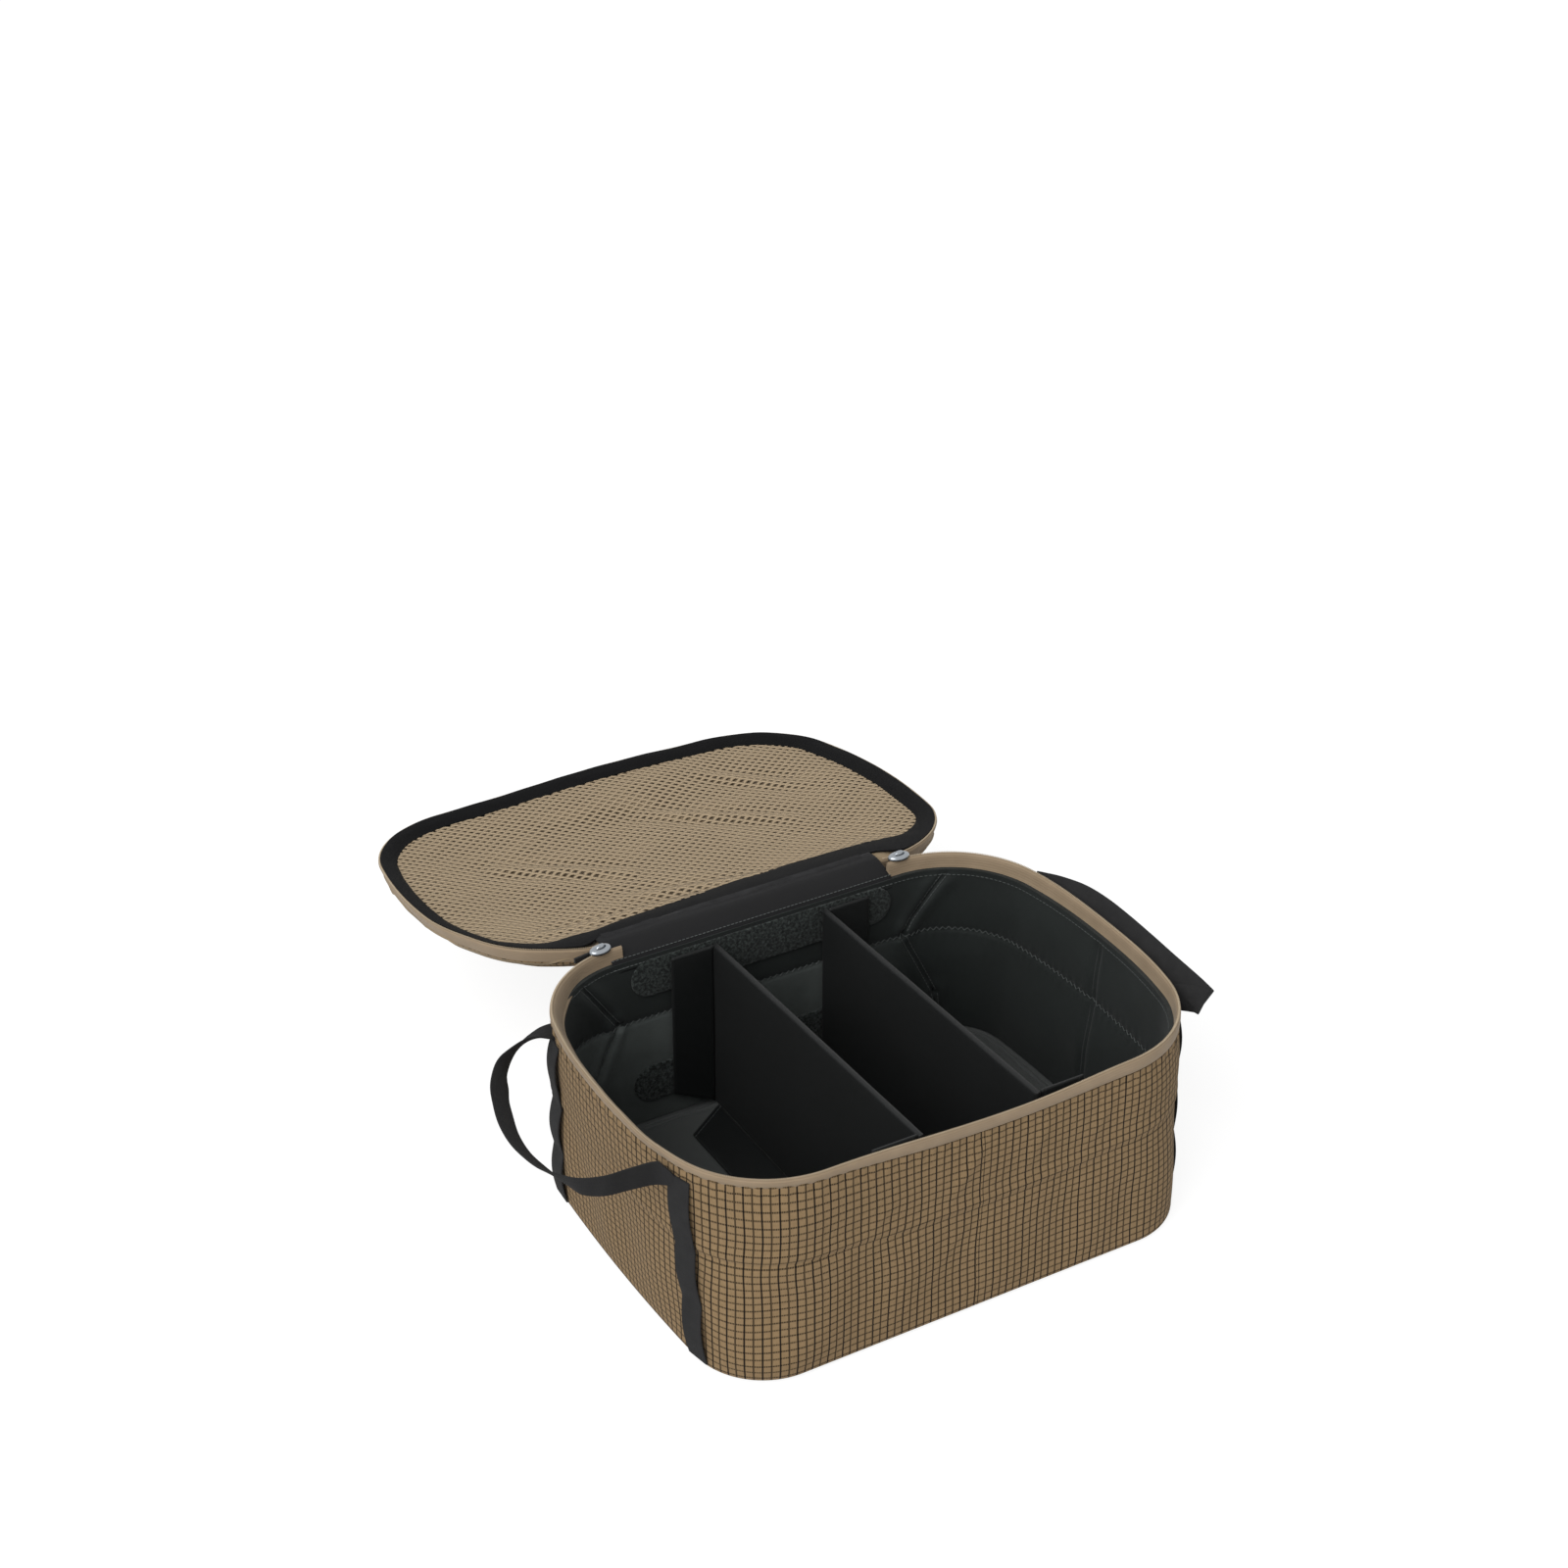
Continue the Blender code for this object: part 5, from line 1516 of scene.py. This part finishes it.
def strap_turn(sign_x, sign_y, height):
    """Place on the outline that a strap follows: the corner arc in front, the end of the side arc behind."""
    half_length, half_width, radius, angle = outline_shape(height)
    corner_x, corner_y, side_x, side_radius = outline_centres(height)
    if sign_y < 0:
        way = side_radius * angle + radius * (math.pi / 2 - angle) * front_strap_share
    else:
        way = side_radius * angle * rear_strap_share
    share = way / quarter_length(height)
    side = 1 if sign_x > 0 else 3
    return side + share * (sign_x * sign_y)


def strap_stations(sign_x, sign_y):
    """Stations of one strap, which bulges between its tacks."""
    stations = []
    for top, bottom in zip(strap_tacks, strap_tacks[1:]):
        for share in evenly(0, 1, strap_steps)[bool(stations):]:
            level = top + (bottom - top) * share
            turn = strap_turn(sign_x, sign_y, level)
            out = Vector(ring_place(turn, level)[2:] + (0,))
            across = Vector((0, 0, 1)).cross(out)
            stand = max(outer_relief(turn, level), 0) + webbing_half_thickness + 0.0002
            lift = stand + strap_bulge * math.sin(share * math.pi)
            stations.append((wall_point(turn, level, -lift), across, out, 1))
    return stations


for sign_x, sign_y, node_name in ((-1, -1, "strap_front_left"), (-1, 1, "strap_rear_left"),
                                  (1, -1, "strap_front_right"), (1, 1, "strap_rear_right")):
    mesh = webbing_mesh("web_" + node_name, strap_stations(sign_x, sign_y))
    add_piece(mesh.name, mesh, webbing, "body", [node_name])


# Handles: a loop of the same webbing on each short side. The left one stands out on edge: in front it folds
# down into the strap, behind it is sewn flat under the zip tape. The right one leans on the wall, its upper
# edge outwards.
handle_steps = 10
fold_length = 0.0190
left_handle_knots = (
    (0.1945, -0.0960, 0.1500, 0), (0.1976, -0.0912, 0.1505, 0), (0.2020, -0.0862, 0.1512, 0),
    (0.2106, -0.0825, 0.1522, -2),
    (0.2279, -0.0823, 0.1540, -6), (0.2449, -0.0826, 0.1558, -11), (0.2588, -0.0772, 0.1572, -20),
    (0.2653, -0.0681, 0.1579, -32), (0.2707, -0.0565, 0.1585, -44), (0.2739, -0.0446, 0.1588, -47),
    (0.2761, -0.0247, 0.1590, -46), (0.2736, -0.0016, 0.1588, -44), (0.2667, 0.0227, 0.1581, -42),
    (0.2613, 0.0380, 0.1575, -38), (0.2540, 0.0520, 0.1569, -30), (0.2474, 0.0629, 0.1560, -15),
    (0.2397, 0.0715, 0.1552, 5), (0.2233, 0.0859, 0.1535, 38), (0.2115, 0.0915, 0.1522, 60),
    (0.2018, 0.0930, 0.1514, 82), (0.1960, 0.0932, 0.1508, 90),
    (0.1900, 0.0932, 0.1505, 90),
)
right_handle_knots = (
    (0.2116, -0.1092, 0.1562, -38), (0.2122, -0.1050, 0.1562, -38), (0.2135, -0.0900, 0.1562, -40),
    (0.2150, -0.0600, 0.1562, -40), (0.2168, -0.0300, 0.1562, -40), (0.2180, 0.0000, 0.1562, -40),
    (0.2178, 0.0250, 0.1562, -40), (0.2150, 0.0460, 0.1560, -38), (0.2095, 0.0640, 0.1545, -30),
    (0.2052, 0.0780, 0.1520, -15), (0.2038, 0.0850, 0.1505, -5),
)
right_return_knots = (
    (0.2105, -0.1090, 0.1552, -38), (0.2104, -0.1030, 0.1540, -36), (0.2088, -0.0950, 0.1512, -26),
    (0.2050, -0.0850, 0.1475, -12),
)


def handle_stations(sign_x, knots, folded):
    """Stations of one handle: the webbing leans by the knots' last value in degrees from upright, its upper
    edge
    inwards where that is above nought; a folded end is drawn down to its lower edge."""
    last = len(knots) - 1
    path = []
    for i in range(last):
        around = [knots[max(i - 1, 0)], knots[i], knots[i + 1], knots[min(i + 2, last)]]
        for step in range(handle_steps):
            t = step / handle_steps
            path.append([(b * 2 + (c - a) * t + (a * 2 - b * 5 + c * 4 - d) * t * t
                          + (b * 3 - a - c * 3 + d) * t * t * t) / 2 for a, b, c, d in zip(*around)])
    path.append(knots[last])
    places = [Vector((sign_x * out, y, z)) for out, y, z, lean in path]
    stations = []
    lengths = [0]
    for first, second in zip(places, places[1:]):
        lengths.append(lengths[-1] + (second - first).length)
    for i, place in enumerate(places):
        run = (places[min(i + 1, len(places) - 1)] - places[max(i - 1, 0)]).normalized()
        outward = Vector((0, 0, 1)).cross(run).normalized() * -sign_x
        upward = run.cross(outward).normalized() * -sign_x
        lean = math.radians(path[i][3])
        across = upward * math.cos(lean) - outward * math.sin(lean)
        kept = 0.15 + 0.85 * min(lengths[i] / fold_length, 1) if folded else 1
        stations.append((place, across, run.cross(across), kept))
    return stations


for sign_x, node_name, end_name, knots in ((-1, "handle_left", "", left_handle_knots),
                                           (1, "handle_right", "", right_handle_knots),
                                           (1, "handle_right", "_return", right_return_knots)):
    mesh = webbing_mesh("web_" + node_name + end_name, handle_stations(sign_x, knots, sign_x < 0))
    handle = add_piece(mesh.name, mesh, webbing, None, [] if end_name else [node_name])
    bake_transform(handle)


# Dividers: a padded board across the body, covered in smooth black cloth, with flaps that lie on the walls
# and the floor. The flaps are edged with dotted seams and carry hook tape that grips the loop strips.
divider_cloth = plain_cloth_material("black_coated_polyester", "#0b0e0e", "#060808", 0.0004, 0.55, 0.02, 0.3)
board_half_thickness = 0.0025
board_bottom = 0.0069
divider_half_width = 0.1392
divider_back_top = 0.1470
divider_front_top = 0.1560
board_edge_steps = 5
board_softness = 0.0004


def edge_spread(low, high, steps, edge, edge_steps):
    """Values from low to high, close together over the rounded edge at both ends."""
    near = [edge * (1 - math.cos(share * math.pi / 2)) for share in evenly(0, 1, edge_steps)]
    return [low + value for value in near] + evenly(low + edge, high - edge, steps)[1:-1] + [
        high - value for value in reversed(near)]


def padded_board_mesh(name, middle_x):
    """Closed board: two grids that meet in a rounded edge, its front end higher than its back end."""
    across = edge_spread(-divider_half_width, divider_half_width, 90, board_half_thickness, board_edge_steps)
    up = edge_spread(0, 1, 44, 0.02, board_edge_steps)
    rows = []
    flat_rows = []
    for sign in (1, -1):
        side_rows = []
        side_flat = []
        for share in up:
            row = []
            flat = []
            for y in across:
                back_share = (y / divider_half_width + 1) / 2
                top = divider_front_top + (divider_back_top - divider_front_top) * back_share
                z = board_bottom + (top - board_bottom) * share
                edge = min(divider_half_width - abs(y), z - board_bottom, top - z)
                reach = min(edge / board_half_thickness, 1)
                half = board_half_thickness * math.sqrt(max(1 - (1 - reach) ** 2, 0))
                soft = board_softness * noise.noise(Vector((y / 0.05, z / 0.05, middle_x * 90 + sign)))
                row.append(Vector((middle_x + sign * (half + soft * reach), y, z)))
                flat.append((y, z))
            side_rows.append(row if sign > 0 else list(reversed(row)))
            side_flat.append(flat if sign > 0 else list(reversed(flat)))
        rows.append(side_rows)
        flat_rows.append(side_flat)
    ring_rows = [first + second[1:-1] for first, second in zip(rows[0], rows[1])]
    ring_flat = [first + second[1:] for first, second in zip(flat_rows[0], flat_rows[1])]
    return cloth_mesh(name, ring_rows, ring_flat, ring=True)


def quad_grid(corners, across_steps, up_steps, relief):
    """Grid of points over a flat four-sided panel, pushed out by a relief along one direction."""
    rows = []
    flat_rows = []
    for v in evenly(0, 1, up_steps):
        row = []
        flat = []
        for u in evenly(0, 1, across_steps):
            low = corners[0].lerp(corners[1], u)
            high = corners[3].lerp(corners[2], u)
            point = low.lerp(high, v)
            row.append(point + relief(u, v))
            flat.append((u * (corners[1] - corners[0]).length, v * (corners[3] - corners[0]).length))
        rows.append(row)
        flat_rows.append(flat)
    return rows, flat_rows


flap_thickness = 0.0014
flap_edge_reach = 0.0035
flap_cut = 0.0180
bottom_flap_cut = 0.0230
flap_stitch = 0.0022
flap_stitch_gap = 0.0018
flap_stitch_proud = 0.0002
for divider_name in ("divider_1", "divider_2"):
    flap_stitch_paths = []
    low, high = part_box(divider_name + "_board")
    middle_x = (low[0] + high[0]) / 2
    sign = -1 if divider_name == "divider_1" else 1
    board_mesh = padded_board_mesh(divider_name + "_pad", middle_x)
    board = add_piece(board_mesh.name, board_mesh, divider_cloth, divider_name,
                      [divider_name + "_board"])
    for side_name, sign_y in (("back", 1), ("front", -1)):
        flap_low, flap_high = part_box(divider_name + "_flap_" + side_name)
        root_x = flap_high[0] if sign < 0 else flap_low[0]
        end_x = flap_low[0] if sign < 0 else flap_high[0]
        wall_y = flap_high[1] if sign_y > 0 else flap_low[1]
        corners = [Vector((root_x, wall_y, flap_low[2])), Vector((end_x, wall_y, flap_low[2] + flap_cut)),
                   Vector((end_x, wall_y, flap_high[2])), Vector((root_x, wall_y, flap_high[2]))]
        inward = Vector((0, -sign_y, 0))
        side_in = Vector((flap_edge_reach * (1 if sign < 0 else -1), 0, 0))
        proud = inward * (flap_thickness + flap_stitch_proud)
        for low_corner, high_corner, shift in ((corners[0], corners[3], -side_in),
                                               (corners[1], corners[2], side_in)):
            flap_stitch_paths += stitch_line([low_corner + shift + proud, high_corner + shift + proud],
                                             flap_stitch, flap_stitch_gap)
        rows, flat_rows = quad_grid(corners, 16, 60, lambda u, v: inward * flap_thickness)
        if sign * sign_y > 0:
            rows = [list(reversed(row)) for row in rows]
            flat_rows = [list(reversed(row)) for row in flat_rows]
        mesh = cloth_mesh(divider_name + "_wing_" + side_name, rows, flat_rows)
        wing = add_piece(mesh.name, mesh, divider_cloth, divider_name,
                         [divider_name + "_flap_" + side_name], flap_thickness)
    bottom_low, bottom_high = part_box(divider_name + "_flap_bottom")
    root_x = bottom_high[0] if sign < 0 else bottom_low[0]
    end_x = bottom_low[0] if sign < 0 else bottom_high[0]
    half_root = bottom_high[1]
    corners = [Vector((root_x, -half_root, bottom_high[2])),
               Vector((end_x, -half_root + bottom_flap_cut, bottom_high[2])),
               Vector((end_x, half_root - bottom_flap_cut, bottom_high[2])),
               Vector((root_x, half_root, bottom_high[2]))]
    proud = Vector((0, 0, flap_stitch_proud))
    for low_corner, high_corner, shift in ((corners[0], corners[1], Vector((0, flap_edge_reach, 0))),
                                           (corners[3], corners[2], Vector((0, -flap_edge_reach, 0)))):
        flap_stitch_paths += stitch_line([low_corner + shift + proud, high_corner + shift + proud],
                                         flap_stitch, flap_stitch_gap)
    grow(divider_name + "_flap_stitches", path_mesh(divider_name + "_stitch_paths", flap_stitch_paths),
         threads,
         {"Radius": thread_radius}, charcoal_thread, divider_name)
    rows, flat_rows = quad_grid(corners, 16, 100, lambda u, v: Vector((0, 0, 0)))
    if sign < 0:
        rows = [list(reversed(row)) for row in rows]
        flat_rows = [list(reversed(row)) for row in flat_rows]
    mesh = cloth_mesh(divider_name + "_wing_bottom", rows, flat_rows)
    wing = add_piece(mesh.name, mesh, divider_cloth, divider_name,
                     [divider_name + "_flap_bottom"],
                     flap_thickness)


# Carried pieces: zinc sliders, each a domed plate with a crown loop over a base that grips the coil, and
# the right pull's short cord. The left pull and the hook tape keep the solids' own shapes.
def zinc_material(name):
    """Tumbled zinc alloy: grey metal with a soft, slightly hazy shine."""
    made = empty_material(name)
    tree = made.node_tree
    place = object_place(tree)
    haze = speckle(tree, place, 900, 3)
    rough = add_node(tree, "ShaderNodeMapRange", {"Value": haze, "To Min": 0.22, "To Max": 0.38}).outputs[0]
    finish_surface(tree, {"Base Color": linear("#9a9fa4"), "Metallic": 1.0, "Roughness": rough})
    return made


zinc_alloy = zinc_material("tumbled_zinc_alloy")
corner_centre_x = 0.1184
corner_centre_y = 0.0674
dome_half_length = 0.0088
dome_half_width = 0.0055
dome_height = 0.0030
dome_edge = 0.0024
dome_level = 0.1640
dome_columns = 36
under_plate_share = 0.55
under_plate_height = 0.0052
under_plate_drop = 0.0050
crown_half_width = 0.0013
crown_half_thickness = 0.0004
crown_path = ((-0.0046, -0.0006), (-0.0040, 0.0010), (-0.0024, 0.0019), (0, 0.0021), (0.0020, 0.0017),
              (0.0036, 0.0006),
              (0.0042, -0.0006))
for side_name, sign_x in (("left", -1), ("right", 1)):
    low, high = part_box("slider_" + side_name)
    middle = Vector(((low[0] + high[0]) / 2, (low[1] + high[1]) / 2 + 0.0002, dome_level))
    axis = Vector((sign_x * corner_centre_x, corner_centre_y, 0))
    out = Vector((middle.x - axis.x, middle.y - axis.y, 0)).normalized()
    along = Vector((0, 0, 1)).cross(out)
    outline = [(dome_half_length * math.cos(2 * math.pi * i / dome_columns),
                dome_half_width * math.sin(2 * math.pi * i / dome_columns)) for i in range(dome_columns)]
    dome_mesh = rounded_plate("slider_dome_" + side_name, outline, dome_height, dome_edge,
                              lambda a, b, level: middle + along * a + out * b + Vector((0, 0, level)))
    add_piece(dome_mesh.name, dome_mesh, zinc_alloy, "slider_" + side_name,
              ["slider_" + side_name])
    under_outline = [(a * under_plate_share, b * under_plate_share) for a, b in outline]
    under_middle = middle - Vector((0, 0, under_plate_drop))
    under_mesh = rounded_plate("slider_base_" + side_name, under_outline, under_plate_height, dome_edge / 4,
                               lambda a, b, level: under_middle + along * a + out * b + Vector((0, 0, level)))
    add_piece(under_mesh.name, under_mesh, zinc_alloy, "slider_" + side_name)
    stations = []
    for a, rise in crown_path:
        centre = middle + along * a + Vector((0, 0, dome_height + rise))
        stations.append([centre + out * crown_half_width * wide + Vector((0, 0, crown_half_thickness * deep))
                         for wide, deep in ((-1, 0), (-0.6, 1), (0.6, 1), (1, 0), (0.6, -1), (-0.6, -1))])
    crown_mesh = swept_mesh("slider_crown_" + side_name, stations)
    add_piece(crown_mesh.name, crown_mesh, zinc_alloy, "slider_" + side_name)
cord_yarn = yarn_material("black_pull_cord", "#2a2a2b", "#151516")
cord_radius = 0.0011
cord_sides = 10
right_cord_path = ((0.1222, 0.1535, 0.1634), (0.1232, 0.1550, 0.1632), (0.1248, 0.1563, 0.1625),
                   (0.1268, 0.1572, 0.1615),
                   (0.1290, 0.1577, 0.1606), (0.1314, 0.1578, 0.1600))
cord_stations = []
for i, place in enumerate(right_cord_path):
    ahead = Vector(right_cord_path[min(i + 1, len(right_cord_path) - 1)])
    run = (ahead - Vector(right_cord_path[max(i - 1, 0)])).normalized()
    side = run.cross(Vector((0, 1, 0))).normalized()
    front = run.cross(side)
    ring = []
    for k in range(cord_sides):
        at = 2 * math.pi * k / cord_sides
        ring.append(Vector(place) + side * cord_radius * math.cos(at) + front * cord_radius * math.sin(at))
    cord_stations.append(ring)
cord_mesh = swept_mesh("pull_cord_right", cord_stations)
add_piece(cord_mesh.name, cord_mesh, cord_yarn, "pull_right", ["pull_right"])
hook_nylon = yarn_material("black_hook_tape", "#1d1f1f", "#0e0f0f", 0.6)
for node_name, surface in (("pull_left", cord_yarn), ("divider_1_hook_back", hook_nylon),
                           ("divider_1_hook_front", hook_nylon), ("divider_2_hook_back", hook_nylon),
                           ("divider_2_hook_front", hook_nylon)):
    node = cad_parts[node_name]
    node.data.materials.clear()
    node.data.materials.append(surface)
